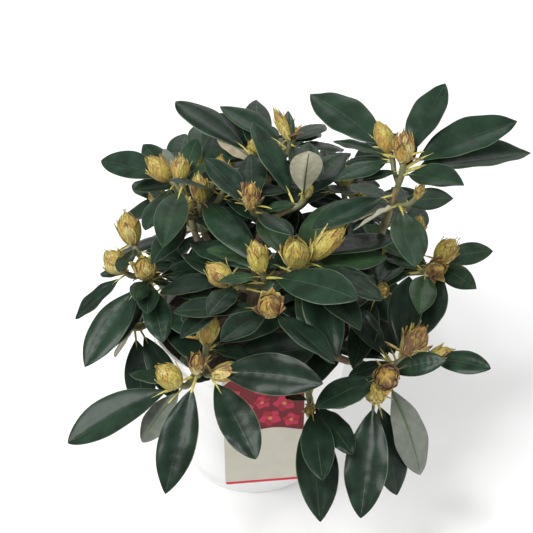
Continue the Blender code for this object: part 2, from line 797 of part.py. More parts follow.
def make_label(collection):
    """A card with round corners that hangs on the rim by a folded hook."""
    finish = material("label_card", (0.74, 0.73, 0.68), 0.5)
    outer = RIM_RADIUS + GAP
    bm = bmesh.new()
    bmesh.ops.create_cube(bm, size=1)
    height = LABEL_TOP - LABEL_BOTTOM
    bmesh.ops.scale(bm, vec=(LABEL_WIDTH, LABEL_THICKNESS, height), verts=bm.verts)
    middle = Vector((0, -outer - LABEL_THICKNESS / 2, LABEL_BOTTOM + height / 2))
    bmesh.ops.translate(bm, vec=middle, verts=bm.verts)
    upright = [e for e in bm.edges if abs(e.verts[0].co.y - e.verts[1].co.y) > LABEL_THICKNESS / 2]
    bmesh.ops.bevel(bm, geom=upright, offset=LABEL_CORNER, segments=3, affect="EDGES")
    bmesh.ops.scale(bm, vec=(MM, MM, MM), verts=bm.verts)
    mesh = bpy.data.meshes.new("label")
    bm.to_mesh(mesh)
    bm.free()
    mesh.materials.append(finish)
    label = bpy.data.objects.new("label", mesh)
    collection.objects.link(label)
    hooks = helper_collection("label_hook")
    new_object("label_hook_piece", hook_body(outer), hooks)
    joined = label.modifiers.new("join", "BOOLEAN")
    joined.operation = "UNION"
    joined.operand_type = "COLLECTION"
    joined.collection = hooks
    apply_modifiers(label)
    for piece in list(hooks.objects):
        bpy.data.meshes.remove(piece.data)
    bpy.data.collections.remove(hooks)
    label.rotation_euler.z = math.radians(LABEL_BEARING + 90)
    return label


def hook_body(outer):
    """The strap that folds from the card over the rim and down inside it."""
    half = HOOK_WIDTH / 2
    inside = math.sqrt((RIM_RADIUS - POT_WALL - 1) ** 2 - half**2) - 2 * GAP
    top = POT_HEIGHT + GAP
    thick = LABEL_THICKNESS
    outline = [
        (outer + thick / 2, top),
        (outer + thick / 2, top + thick),
        (inside - thick, top + thick),
        (inside - thick, top - HOOK_DROP),
        (inside, top - HOOK_DROP),
        (inside, top),
    ]
    rings = []
    for x in (-half, half):
        rings.append([Vector((x, -radius, height)) for radius, height in outline])
    return loft(rings)


def make_stem(collection, finish):
    return new_object("main_stem", stem_body(), collection, finish)


def make_boughs(collection, finish):
    """Each bough is cut to sit against the main stem."""
    cutters = helper_collection("cutters")
    cutter = new_object("stem_clearance", stem_body(GAP), cutters)
    cutter.hide_render = True
    cutter.display_type = "WIRE"
    for name, path in route_boughs().items():
        bough = new_object("bough_" + name, bough_body(path), collection, finish)
        cut = bough.modifiers.new("seat", "BOOLEAN")
        cut.operation = "DIFFERENCE"
        cut.object = cutter
        bough.data.shade_smooth()
        bough.data.set_sharp_from_angle(angle=math.radians(60))


def main():
    for old in list(bpy.data.objects):
        bpy.data.objects.remove(old)
    collection = bpy.data.collections.new("potted_rhododendron")
    bpy.context.scene.collection.children.link(collection)
    bark = material("bark", (0.16, 0.12, 0.07), 0.85)
    leaf = material("leaf", (0.02, 0.055, 0.025), 0.35)
    make_pot(collection)
    make_potting_mix(collection)
    make_label(collection)
    make_stem(collection, bark)
    make_boughs(collection, bark)
    growth = grow_plant()
    for name in MASSES:
        fuse("foliage_" + name, growth.bodies[name], collection, leaf)


main()
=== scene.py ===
"""The looks of a rhododendron in its nursery pot, in winter bud.

Lengths are in millimetres until a mesh is made. The plant grows by the same rule and
from the same named sizes as the solids, and is then carried to finer twigs and leaves.
"""

import math
import random
from typing import NamedTuple

import bpy
import numpy as np
from mathutils import Matrix, Vector, noise
from mathutils.bvhtree import BVHTree


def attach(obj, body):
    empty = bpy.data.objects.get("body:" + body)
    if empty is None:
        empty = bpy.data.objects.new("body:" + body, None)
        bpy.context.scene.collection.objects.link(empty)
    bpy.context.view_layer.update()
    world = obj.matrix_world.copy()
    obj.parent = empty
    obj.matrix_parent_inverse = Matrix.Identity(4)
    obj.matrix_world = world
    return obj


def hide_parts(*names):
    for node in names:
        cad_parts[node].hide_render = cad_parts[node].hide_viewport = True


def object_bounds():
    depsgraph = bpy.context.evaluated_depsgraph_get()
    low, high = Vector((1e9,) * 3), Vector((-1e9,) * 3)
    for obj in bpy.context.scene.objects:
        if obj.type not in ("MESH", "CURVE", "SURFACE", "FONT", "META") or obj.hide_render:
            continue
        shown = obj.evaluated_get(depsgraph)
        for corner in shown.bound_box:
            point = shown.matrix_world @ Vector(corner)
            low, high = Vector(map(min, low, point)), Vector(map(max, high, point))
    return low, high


MM = 0.001
GAP = 0.3
GOLDEN_ANGLE = 137.5
UP = np.array([0.0, 0.0, 1.0])

# Pot, potting mix and label
POT_HEIGHT = 190.0
POT_BASE_RADIUS = 78.0
POT_WALL = 2.2
RIM_RADIUS = 105.0
RIM_DEPTH = 16.0
RIM_STEP = 2.4
RIM_ROUND = 1.2
POT_STEPS = 24
SOIL_LEVEL = 172.0
SOIL_DISH = 3.0
LABEL_WIDTH = 80.0
LABEL_BOTTOM = 50.0
LABEL_TOP = 196.0
LABEL_THICKNESS = 0.9
LABEL_CORNER = 4.0
LABEL_BEARING = -84.0
HOOK_WIDTH = 24.0
HOOK_DROP = 14.0

# Main stem and boughs
STEM_TOP = 292.0
STEM_LEAN = (9.0, -4.0)
STEM_BEND_LOW = (5.0, 3.0, 36.0)
STEM_BEND_HIGH = (-3.0, 4.0, -40.0)
STEM_FLARE = 17.0
STEM_FLARE_HEIGHT = 9.0
STEM_FOOT = 10.5
STEM_TIP = 5.5
STEM_SIDES = 10
STEM_RINGS = 8
BOUGH_SIDES = 6
BOUGH_RINGS = 7
BOUGH_FOOT = 4.7
BOUGH_TIP = 3.3
BOUGH_CLIMB = 0.55
BOUGH_CLIMBS = (0, 5, -5, 10, 15, 20, 25)
BOUGH_BOWS = (0, 0.3, -0.3, 0.6, -0.6)
BOUGH_NUDGES = [(climb, bow) for climb in BOUGH_CLIMBS for bow in BOUGH_BOWS]
LEAVE_SHARE = 0.4
ARRIVE_SHARE = 0.3

# Twigs, leaves and buds of the rule
TWIG_SIDES = 3
TWIG_RINGS = 4
TWIG_TIP = 2.5
FORK_TIP = 2.1
TWIG_BOW = 0.12
TWIG_TRIES = 12
HUB_SHARE = 0.35
LEAF_HALF_THICKNESS = 0.65
PETIOLE_HALF_WIDTH = 1.3
LEAF_WIDTH_SHARE = 0.34
LEAF_ARCH = 26.0
LEAF_COUNT = 5
LEAF_SPACING = 2.6
LEAF_FIRST = 5.0
OLDER_START = 34.0
OLDER_EVERY = 2
WIDTH_SPREAD = (0.92, 1.12)
ROLL_SPREAD = 14.0
NEW_LENGTHS = (72.0, 104.0)
NEW_RISES = (-8.0, 22.0)
NEW_RISE_STEP = 5.0
OLDER_LENGTHS = (80.0, 108.0)
OLDER_RISES = (-34.0, -6.0)
CLEARANCE = 0.45
BUD_SIDES = 5
SMALL_NUDGES = [(turn, lift) for lift in (0, 6, -6, 12, -12, 18) for turn in (0, 6, -6, 12, -12)]
WIDE_NUDGES = [(turn, lift) for turn in (0, 16, -16, 32, -32) for lift in (0, 12, -12, 24)]
LEAF_STATIONS = ((0.14, 0.0), (0.42, 0.92), (0.76, 0.84))
BUD_STATIONS = ((0.0, 0.35), (0.36, 1.0), (0.74, 0.66))

# Finer growth, on each shoot: a small leaf under the bud, a lower leaf and a side twig
SMALL_BACK = 9.0
SMALL_LENGTHS = (34.0, 52.0)
SMALL_RISES = (-35.0, 0.0)
SMALL_ASIDE = 80.0
LOWER_BACK = OLDER_START * 0.7
LOWER_LENGTHS = (70.0, 96.0)
SIDE_LENGTHS = (20.0, 38.0)
SIDE_RISES = (5.0, 55.0)
SIDE_START = 16.0
SIDE_SPAN = 0.7
SIDE_UPTURN = Vector((0, 0, 0.5))
SIDE_CURVE = (0.4, 0.3)
SIDE_RADII = (1.56, 1.2)
SIDE_LEAVES = 3
SIDE_LEAF_SPACING = 2
SIDE_LEAF_LENGTHS = (46.0, 78.0)
SIDE_BUD = (60, 11.0, 5.0)

# Fine limbs and twigs, and the relief of their bark as shares of the radius
STEM_STEP = 1.2
BOUGH_STEP = 1.6
TWIG_STEP = 1.5
FINE_STEM_SIDES = 60
FINE_BOUGH_SIDES = 26
FINE_TWIG_SIDES = 10
ROOT_LOBES = 0.13
COLLAR_SWELL = 0.35
COLLAR_START = 8
COLLAR_LENGTH = 5
NODE_SWELL = 0.22
NODE_BACK = 9
NODE_LENGTH = 7
YOUNG_LENGTH = 26
BARK_DEPTH = 0.05
RIDGE_LAYERS = 5
SCAR_SPACING = 14
SCAR_HEIGHT = 1.6
SCAR_LENGTH = 1.3
SCAR_TURN = 0.6

# Fine leaves
BLADE_START = 0.13
BLADE_ROWS = 42
SMALL_BLADE_ROWS = 28
SMALL_BLADE_LENGTH = 60.0
BLADE_ENDS = (0.06, math.pi - 0.035)
BLADE_COLUMNS = np.array([-1, -0.965, -0.7, -0.36, 0, 0.36, 0.7, 0.965, 1])
BLADE_THICKNESS = 0.55
MARGIN_THICKNESS = 0.3
FOOT_POWER = 0.98
WAVE_HALF_WIDTH = 8
VEIN_HALF_WIDTH = 6
VEIN_FADE = 4
VEIN_PAIRS = 9
VEIN_SLANT = 0.17
VEIN_RELIEF = 0.5
RIB_ROWS = 18
RIB_SIDES = 6
RIB_END = 0.955
RIB_FOOT = 1.35
RIB_TIP = 0.3
RIB_TAPER = 1.4
RIB_LEAST = 0.1
RIB_PROUD = 0.1
RIB_SINK = 8
STALK_END = 0.45
UPPER, FELT, MARGIN = range(3)

# Tints of the leaves' upper faces with the felt below, and how often a spray has each. A
# spray is a shoot's leaves, counted from 1 in its mass, and some have a tint of their own.
TINTS = {
    "deep": ((0.008, 0.018, 0.0105), (0.27, 0.235, 0.15), 0.4),
    "dark": ((0.0105, 0.025, 0.0135), (0.1, 0.115, 0.09), 0.4),
    "mid": ((0.0145, 0.032, 0.0165), (0.5, 0.47, 0.32), 0.17),
    "fresh": ((0.019, 0.041, 0.018), (0.52, 0.51, 0.31), 0.03),
}
YOUNG_WEIGHTS = (0.3, 0.35, 0.25, 0.1)
SPRAY_TINTS = {
    ("top", 1): "deep",
    ("centre", 5): "deep",
    ("front", 1): "deep",
    ("lower_left", 3): "deep",
    ("lower_right", 2): "dark",
    ("lower_right", 3): "deep",
}
UPRIGHT_TINT = "mid"
UPRIGHT_RISE = 55.0
MARGIN_COLOUR = (0.045, 0.075, 0.032)
STALK_COLOUR = (0.36, 0.33, 0.07)
MIDRIB_COLOUR = (0.052, 0.088, 0.034)

# Bud scales and bracts
SMALL_BUD_LENGTH = 15
SCALE_COUNT = 23
SMALL_SCALE_COUNT = 7
SCALE_ROWS = 11
SCALE_COLUMNS = np.linspace(-1, 1, 9)
SCALE_THICKNESS = 0.3
SCALE_TURN = 40
SCALE_TIP = 0.985
CORE_ROWS = 12
CORE_SIDES = 14
CORE_INSET = 0.35
CORE_LEAST = 0.15
BUD_WIDEST = 0.92
BRACT_COUNT = 5
BRACT_ROWS = 9
BRACT_THICKNESS = 0.24
SCALE_COLOURS = {
    "bud_green": (0.34, 0.285, 0.05),
    "bud_ochre": (0.33, 0.205, 0.04),
    "bud_brown": (0.15, 0.075, 0.03),
    "bud_straw": (0.42, 0.35, 0.12),
}
GREEN, OCHRE, BROWN, STRAW = range(4)

# How dry a bud is, from 0 for fresh to 1, with the buds that differ, counted from 1
FRESH_DRYNESS = (0.02, 0.3)
DRY = 0.8
SMOOTH = 0.0
BUD_DRYNESS = {
    ("top_right", 1): DRY,
    ("top_right", 2): SMOOTH,
    ("right", 2): DRY,
    ("lower_right", 1): DRY,
    ("lower_right", 2): DRY,
    ("lower_right", 3): SMOOTH,
    ("lower_left", 2): DRY,
    ("lower_left", 4): SMOOTH,
    ("crown_centre", 1): DRY,
    ("centre", 5): DRY,
}

# Fine pot and potting mix
FINE_POT_STEPS = 144
POT_FLOOR = POT_WALL + 1
RIM_BEAD = 1.1
MIX_STEPS = 150
MIX_RINGS = 46
CRUMB_COUNT = 1100
CHIP_SHARE = 0.25
CHIP_SIZES = (2.2, 5.5)
CRUMB_SIZES = (0.8, 2.4)
CHIP_FLATNESS = 0.55
DARK_CRUMB, BROWN_CRUMB, BARK_CRUMB = range(3)

# Print on the label: a stripe at its foot and a picture of plain flowers above a wavy edge,
# each flower given by its place across, its height and its size
PRINT_SINK = 0.2
PRINT_LAYER = 0.12
STRIPE_HEIGHT = 3.6
PICTURE_FOOT = 126.0
PICTURE_WAVE = 3.2
PICTURE_INSET = 0.4
PICTURE_CORNER = 6
PETALS = 5
PETAL_POINTS = 15
PETAL_NOTCH = 0.06
BLOOM_INSET = 0.8
BLOOMS = (
    (-30, 141, 15),
    (-13, 137, 12),
    (6, 143, 17),
    (27, 139, 14),
    (-22, 159, 18),
    (20, 162, 17),
    (-2, 165, 13),
    (-31, 177, 13),
    (0, 182, 15),
    (32, 181, 14),
)

# Floor and lights, in metres: each light's place, size and power
FLOOR_SIZE = 6.0
FLOOR_STEPS = 24
LIGHT_AIM = (0, 0, 0.25)
LIGHTS = {
    "key": ((-0.9, -0.7, 1.7), 1.0, 36),
    "fill": ((1.3, -1.0, 1.0), 1.4, 9),
    "back": ((0.3, 1.4, 1.3), 1.2, 6),
    "top": ((-0.15, -0.35, 1.9), 0.3, 7),
}
SURROUND = 0.6

# Camera, at the photograph's angle
CAMERA_TARGET = Vector((0.0135, 0.0, 0.25))
CAMERA_DISTANCE = 1.15
CAMERA_ELEVATION = 38.0
SENSOR_WIDTH = 36.0
FRAME_PIXELS = 533


class Shoot(NamedTuple):
    """Where a shoot ends, its bud (bearing, rise, length, width) and the leaves that
    stand out on it (bearing, rise, length and, where it is turned over, roll), in
    millimetres and degrees. The whorl is filled up to so many leaves and starts so far
    back from the tip. A fork gives the shoot it leaves and how far back along it."""

    tip: tuple
    bud: tuple
    leaves: tuple = ()
    whorl: int = LEAF_COUNT
    first: float = LEAF_FIRST
    fork: tuple = ()


class Mass(NamedTuple):
    """A foliage mass: its bough's start up the main stem, its foot and its shoots."""

    start: float
    foot: tuple
    shoots: tuple


MASSES = {
    "top_right": Mass(282, (123, -26, 312), (
        Shoot((139, -19, 385), (90, 60, 30, 19),
              ((59, 29, 97), (22, 12, 122, 14), (15, 0, 130, 6), (-52, 21, 82, 28), (70, 32, 45))),
        Shoot((128, -5, 388), (130, 50, 32, 17),
              ((127, 5, 122, -20), (150, 0, 62), (-147, 2, 66)), whorl=3, fork=(1, 22)),
        Shoot((150, -38, 358), (40, 55, 16, 8),
              ((-88, 4, 102), (-133, 6, 66, 60), (18, -4, 60, 60), (123, -11, 70),
               (-142, 4, 52, 50)), whorl=3, first=20, fork=(1, 48)),
    )),
    "right": Mass(214, (120, -14, 242), (
        Shoot((180, -16, 268), (20, 50, 30, 20),
              ((11, 6, 62, 55), (-52, 8, 62, 34)), whorl=2),
        Shoot((172, -28, 266), (-60, 40, 26, 17),
              ((-101, 8, 80), (140, 16, 80), (-150, -10, 82)), whorl=3),
        Shoot((160, 30, 262), (50, 50, 26, 16),
              ((110, -12, 80), (-115, -5, 87), (84, -16, 80)), whorl=3),
        Shoot((120, -58, 262), (-60, 50, 20, 13),
              ((35, 8, 70), (150, -12, 80), (-110, -24, 84), (95, -6, 80)), whorl=4),
    )),
    "lower_right": Mass(191, (92, -98, 212), (
        Shoot((141, -124, 240), (40, 48, 35, 22),
              ((70, 14, 108), (86, 28, 92), (101, -8, 80), (145, -28, 85), (118, -20, 96),
               (125, 22, 70)), whorl=6),
        Shoot((125, -138, 228), (-105, 45, 26, 22),
              ((-140, 4, 82), (-50, -58, 104, 180), (-15, 31, 64, 36)), whorl=3),
        Shoot((114, -147, 215), (-100, 55, 22, 20),
              ((-100, -38, 115), (-62, -62, 106)), whorl=2),
        Shoot((163, -119, 235), (-10, 30, 26, 14), ((-32, 17, 68, 20),), whorl=1),
    )),
    "front": Mass(204, (48, -96, 206), (
        Shoot((55, -139, 191), (-100, 30, 16, 9),
              ((-85, -2, 92), (-86, -26, 114), (-62, 0, 78), (84, 4, 93)), whorl=4),
    )),
    "lower_left": Mass(196, (-44, -98, 212), (
        Shoot((-66, -145, 225), (160, 42, 28, 22),
              ((-160, -18, 118), (-140, -38, 66, 165), (160, -5, 60)), whorl=3),
        Shoot((-50, -144, 240), (-60, 82, 26, 14), ((-108, -38, 112),), whorl=2),
        Shoot((-36, -145, 238), (5, 12, 30, 17),
              ((-63, -12, 98), (-22, 14, 116, 38), (25, -6, 115, 30)), whorl=3),
        Shoot((-41, -127, 262), (70, 66, 30, 20),
              ((105, -10, 75), (118, -6, 98), (20, -20, 45), (32, 6, 98)), whorl=4),
    )),
    "left": Mass(219, (-84, -18, 240), (
        Shoot((-118, 3, 275), (115, 54, 34, 22), ((-100, 12, 56), (120, -50, 60)), whorl=2),
        Shoot((-126, -24, 262), (160, 50, 28, 22), ((-150, -30, 68), (150, -20, 40)), whorl=2),
        Shoot((-103, -44, 270), (-60, 82, 27, 20),
              ((-125, -25, 104), (-95, 20, 58), (72, -5, 75), (-75, -12, 76), (-92, 4, 64),
               (12, 4, 84, 20), (36, -12, 80))),
    )),
    "upper_left": Mass(252, (-48, 12, 284), (
        Shoot((-82, 48, 322), (156, 40, 32, 20),
              ((148, -3, 92, -30), (-108, -3, 76), (119, 50, 40, 170)), whorl=3),
        Shoot((-70, 28, 335), (90, 50, 24, 17), ((75, 23, 55), (-98, -3, 95)), whorl=2),
        Shoot((-50, -2, 330), (100, 70, 28, 16), ((91, -2, 75),), whorl=1),
        Shoot((-36, 21, 340), (60, 60, 24, 15), ((52, -17, 85), (85, 4, 96), (-16, -9, 84)), whorl=3),
        Shoot((-27, 6, 338), (70, 55, 26, 15), ((91, -4, 70),), whorl=3),
        Shoot((-64, -1, 315), (94, 30, 20, 14), ((115, -6, 70), (-114, -2, 80)), whorl=2),
    )),
    "top": Mass(275, (10, 44, 302), (
        Shoot((1, 57, 345), (90, 45, 18, 12),
              ((145, 18, 105), (121, 3, 95), (91, 12, 95), (128, -12, 75), (156, 28, 52, 175))),
        Shoot((37, 72, 352), (133, 50, 36, 12),
              ((60, -12, 80), (36, -22, 80), (153, 11, 92), (88, 47, 42), (100, -20, 80))),
        Shoot((39, 77, 350), (60, 55, 14, 8), ((-74, 8, 92), (63, -12, 78), (-127, 0, 82)), whorl=3),
    )),
    "crown_centre": Mass(289, (14, -14, 310), (
        Shoot((-1, -35, 345), (-80, 86, 30, 16),
              ((92, 6, 85), (-62, 16, 76), (130, 12, 80)), whorl=3),
        Shoot((51, -10, 340), (40, 70, 16, 9),
              ((-85, 66, 85), (84, 8, 90), (60, 4, 90), (76, -12, 60), (112, 29, 100))),
    )),
    "centre": Mass(240, (14, -58, 268), (
        Shoot((9, -95, 318), (120, 62, 30, 18),
              ((114, 8, 110), (136, -8, 100), (-40, 16, 108, 16), (95, -4, 58))),
        Shoot((40, -91, 322), (-120, 84, 30, 24), ((114, 1, 80), (65, 6, 105))),
        Shoot((53, -84, 325), (27, 36, 44, 19),
              ((30, -6, 98), (-46, 6, 93), (-72, -22, 98), (-59, -4, 96))),
        Shoot((-18, -90, 300), (155, 28, 30, 20),
              ((155, -24, 90), (-112, 14, 70), (-132, -8, 80))),
        Shoot((17, -129, 300), (-100, 66, 24, 21),
              ((-55, 4, 94), (-126, 12, 74), (-176, 2, 88)), whorl=3),
    )),
    "right_back": Mass(228, (96, 44, 250), (
        Shoot((140, 62, 256), (30, 50, 30, 19),
              ((62, -10, 86), (118, -6, 80), (90, -30, 84)), whorl=3),
        Shoot((112, 96, 256), (70, 45, 27, 18)),
        Shoot((150, 58, 244), (20, 30, 24, 17),
              ((75, -20, 88), (-40, -24, 52), (122, -20, 84), (60, -34, 72)), whorl=4),
        Shoot((92, 70, 300), (60, 65, 28, 17)),
    )),
    "back": Mass(234, (14, 92, 252), (
        Shoot((8, 128, 298), (90, 50, 30, 19)),
        Shoot((44, 134, 276), (70, 40, 26, 18)),
        Shoot((-28, 134, 270), (110, 40, 28, 20)),
        Shoot((12, 150, 252), (90, 20, 22, 16)),
    )),
    "back_left": Mass(224, (-62, 66, 246), (
        Shoot((-84, 96, 288), (130, 50, 30, 20),
              ((122, 10, 72), (92, 8, 88), (60, 0, 84), (140, -20, 76)), whorl=4),
        Shoot((-92, 92, 258), (150, 40, 28, 19),
              ((122, 2, 88), (78, 6, 84), (100, -34, 80)), whorl=3),
        Shoot((-62, 122, 264), (110, 35, 26, 18)),
        Shoot((-54, 78, 316), (110, 65, 24, 16),
              ((92, 4, 86), (138, -14, 70), (58, 8, 88), (-175, -8, 70)), whorl=4),
    )),
    "low_right": Mass(190, (92, 20, 214), (
        Shoot((126, 40, 226), (20, 30, 20, 13),
              ((-50, -42, 88), (36, -60, 82), (66, -34, 88), (100, -24, 80))),
        Shoot((104, 88, 220), (50, 25, 20, 13),
              ((40, -40, 92), (75, -48, 96), (110, -30, 90), (0, -50, 84)), whorl=4),
    )),
    "low_left": Mass(184, (-86, -46, 208), (
        Shoot((-118, -62, 222), (-160, 30, 20, 13),
              ((-80, -50, 84), (150, -60, 60), (-60, -24, 84), (112, -30, 78)), whorl=4),
        Shoot((-100, 22, 216), (150, 25, 20, 13),
              ((100, -20, 84), (140, -44, 84), (60, -16, 80), (172, -58, 80)), whorl=4),
    )),
    "low_back": Mass(193, (-8, 96, 210), (
        Shoot((-16, 138, 220), (100, 25, 20, 13), ((60, -42, 96), (100, -46, 104), (140, -40, 96))),
        Shoot((42, 142, 216), (70, 25, 20, 13), ((70, -50, 98), (30, -40, 92), (105, -36, 92))),
        Shoot((-72, 118, 216), (125, 25, 20, 13), ((125, -50, 98), (165, -40, 88), (90, -36, 92))),
    )),
}
FOLIAGE_NODES = ["foliage_" + name for name in MASSES]
LIMB_NODES = ["main_stem", *["bough_" + name for name in MASSES]]


class Body(NamedTuple):
    """A closed loft: its corners and its faces."""

    corners: list
    faces: list


class Leaf(NamedTuple):
    root: Vector
    bearing: float
    rise: float
    length: float
    width: float
    roll: float


def heading(bearing, rise):
    b = math.radians(bearing)
    r = math.radians(rise)
    return Vector((math.cos(r) * math.cos(b), math.cos(r) * math.sin(b), math.sin(r)))


def loft(rings):
    """A closed body through rings of corners, a ring of one corner being a point."""
    corners = []
    faces = []
    starts = []
    for ring in rings:
        starts.append(len(corners))
        corners.extend(ring)
    for (a, first), (b, second) in zip(
        zip(starts, rings), zip(starts[1:], rings[1:])
    ):
        sides = max(len(first), len(second))
        for i in range(sides):
            j = (i + 1) % sides
            if len(second) == 1:
                faces.append((a + i, a + j, b))
            elif len(first) == 1:
                faces.append((a, b + j, b + i))
            else:
                faces.append((a + i, a + j, b + j))
                faces.append((a + i, b + j, b + i))
    if len(rings[0]) > 1:
        faces.append(tuple(reversed(range(len(rings[0])))))
    if len(rings[-1]) > 1:
        faces.append(tuple(range(starts[-1], len(corners))))
    return Body(corners, faces)


def frames_along(path):
    """Two directions across the path at each of its points, carried on without twist."""
    frames = []
    across = None
    for i, point in enumerate(path):
        along = (path[min(i + 1, len(path) - 1)] - path[max(i - 1, 0)]).normalized()
        if across is None:
            guide = Vector((0, 0, 1)) if abs(along.z) < 0.9 else Vector((1, 0, 0))
            across = guide.cross(along)
        across = (across - along * across.dot(along)).normalized()
        frames.append((across, along.cross(across)))
    return frames


def tube_rings(path, radii, sides, grow=0.0):
    rings = []
    for point, (across, other), radius in zip(path, frames_along(path), radii):
        ring = []
        for i in range(sides):
            turn = math.tau * i / sides
            spoke = across * math.cos(turn) + other * math.sin(turn)
            ring.append(point + spoke * (radius + grow))
        rings.append(ring)
    return rings


def tube(path, radii, sides, grow=0.0):
    return loft(tube_rings(path, radii, sides, grow))


def bezier(a, b, c, d, count):
    points = []
    for i in range(count):
        t = i / (count - 1)
        s = 1 - t
        points.append(a * s**3 + b * 3 * s * s * t + c * 3 * s * t * t + d * t**3)
    return points


def spread(first, last, count):
    """Values that run evenly from first to last."""
    return [first + (last - first) * i / (count - 1) for i in range(count)]


def leaf_frame(leaf, share):
    """The midrib's point at this share of the length, with the way across and the way up."""
    bend = math.radians(LEAF_ARCH)
    base = math.radians(leaf.rise) + bend / 2
    here = base - bend * share
    out = leaf.length * (math.sin(base) - math.sin(here)) / bend
    up = leaf.length * (math.cos(here) - math.cos(base)) / bend
    point = leaf.root + heading(leaf.bearing, 0) * out + Vector((0, 0, up))
    along = heading(leaf.bearing, math.degrees(here))
    across = heading(leaf.bearing - 90, 0)
    turn = Matrix.Rotation(math.radians(leaf.roll), 3, along)
    return point, turn @ across, turn @ across.cross(along)


def leaf_section(leaf, share, half_width, grow):
    """A flat upper face with a keel below it."""
    point, across, up = leaf_frame(leaf, share)
    half = half_width + grow
    thick = LEAF_HALF_THICKNESS + grow
    return [
        point - across * half + up * thick,
        point - up * thick,
        point + across * half + up * thick,
    ]


def leaf_body(leaf, grow=0.0, whole=True):
    """The leaf as a thin lens with a stalk, or its blade alone."""
    rings = []
    if whole:
        rings.append(leaf_section(leaf, 0, PETIOLE_HALF_WIDTH, grow))
    for share, wide in LEAF_STATIONS:
        half = max(wide * leaf.width / 2, PETIOLE_HALF_WIDTH)
        rings.append(leaf_section(leaf, share, half, grow))
    rings.append([leaf_frame(leaf, 1.0)[0]])
    return loft(rings)


def bud_body(base, bud, grow=0.0):
    """A plump spindle that ends in a point."""
    bearing, rise, length, width = bud
    along = heading(bearing, rise)
    path = [base + along * (length * share) for share, _ in BUD_STATIONS]
    rings = tube_rings(path, [width / 2 * wide for _, wide in BUD_STATIONS], BUD_SIDES, grow)
    return loft([*rings, [base + along * (length + grow)]])


def stem_path():
    """The main stem's line, which leans a little and straightens."""
    foot = Vector((0, 0, SOIL_LEVEL + GAP))
    collar = foot + Vector((0, 0, STEM_FLARE_HEIGHT))
    top = Vector((*STEM_LEAN, STEM_TOP))
    low = collar + Vector(STEM_BEND_LOW)
    high = top + Vector(STEM_BEND_HIGH)
    return [foot, *bezier(collar, low, high, top, STEM_RINGS)]


def stem_body():
    path = stem_path()
    radii = [STEM_FLARE, *spread(STEM_FOOT, STEM_TIP, len(path) - 1)]
    return tube(path, radii, STEM_SIDES)


def stem_point(height):
    path = stem_path()
    for below, above in zip(path, path[1:]):
        if above.z >= height:
            return below.lerp(above, (height - below.z) / (above.z - below.z))
    return path[-1]


def bough_path(mass, climb, bow):
    """A bough's line from the main stem's axis to its mass, with a sideways bow."""
    start = stem_point(mass.start + climb)
    foot = Vector(mass.foot)
    reach = (foot - start).length
    out = Vector((foot.x - start.x, foot.y - start.y, 0)).normalized()
    leave = (out + Vector((0, 0, BOUGH_CLIMB)) + Vector((-out.y, out.x, 0)) * bow).normalized()
    arrive = (middle_of(mass) - foot).normalized()
    end = foot - arrive * BOUGH_TIP
    low = start + leave * reach * LEAVE_SHARE
    high = end - arrive * reach * ARRIVE_SHARE
    return [*bezier(start, low, high, end, BOUGH_RINGS - 1), foot]


def route_boughs():
    """Each bough's line, with the first climb and bow that keep it clear of the others."""
    routes = {}
    taken = []
    stem = stem_path()
    for name, mass in MASSES.items():
        for climb, bow in BOUGH_NUDGES:
            path = bough_path(mass, climb, bow)
            fine = [a.lerp(b, i / 4) for a, b in zip(path, path[1:]) for i in range(4)]
            free = [p for p in fine if min((p - s).xy.length for s in stem) > STEM_TIP]
            body = tube(free, [BOUGH_FOOT] * len(free), BOUGH_SIDES, CLEARANCE)
            tree = BVHTree.FromPolygons(body.corners, body.faces)
            if not any(tree.overlap(other) for other in taken):
                break
        routes[name] = path
        taken.append(tree)
    return routes


def middle_of(mass):
    total = Vector((0, 0, 0))
    for shoot in mass.shoots:
        total += Vector(shoot.tip)
    return total / len(mass.shoots)


def bough_body(path):
    return tube(path, spread(BOUGH_FOOT, BOUGH_TIP, BOUGH_RINGS), BOUGH_SIDES)


class Growth:
    """Grows the masses, keeping each clear of the limbs and of the other masses."""

    def __init__(self):
        self.solids = []
        self.leaves = {name: [] for name in MASSES}
        self.buds = {name: [] for name in MASSES}
        self.twigs = {name: [] for name in MASSES}

    def keep(self, owner, body, shoot=None):
        self.solids.append((owner, shoot, BVHTree.FromPolygons(body.corners, body.faces)))

    def touches(self, owner, whole, blade=None, shoot=None):
        """True if the whole cuts another owner's solid, or the blade cuts its own."""
        whole_tree = BVHTree.FromPolygons(whole.corners, whole.faces)
        blade_tree = blade and BVHTree.FromPolygons(blade.corners, blade.faces)
        for other, other_shoot, tree in self.solids:
            if other != owner:
                if whole_tree.overlap(tree):
                    return True
            elif blade_tree and (other_shoot is None or other_shoot != shoot):
                if blade_tree.overlap(tree):
                    return True
        return False

    def add_twig(self, name, index, path, radii):
        self.keep(name, tube(path, radii, TWIG_SIDES), ("twig", index))
        self.twigs[name].append((path, radii))

    def add_leaf(self, name, index, leaf, nudges, spray):
        for turn, lift in nudges:
            tried = leaf._replace(bearing=leaf.bearing + turn, rise=leaf.rise + lift)
            whole = leaf_body(tried, CLEARANCE)
            blade = leaf_body(tried, CLEARANCE, whole=False)
            body = leaf_body(tried)
            if self.touches(name, whole, blade, ("twig", index)) or self.touches(name, body):
                continue
            self.keep(name, body)
            self.leaves[name].append((spray, tried))
            return True
        return False

    def add_bud(self, name, base, bud, index):
        if self.touches(name, bud_body(base, bud, CLEARANCE)):
            return
        self.keep(name, bud_body(base, bud), ("twig", index))
        self.buds[name].append((base, bud))


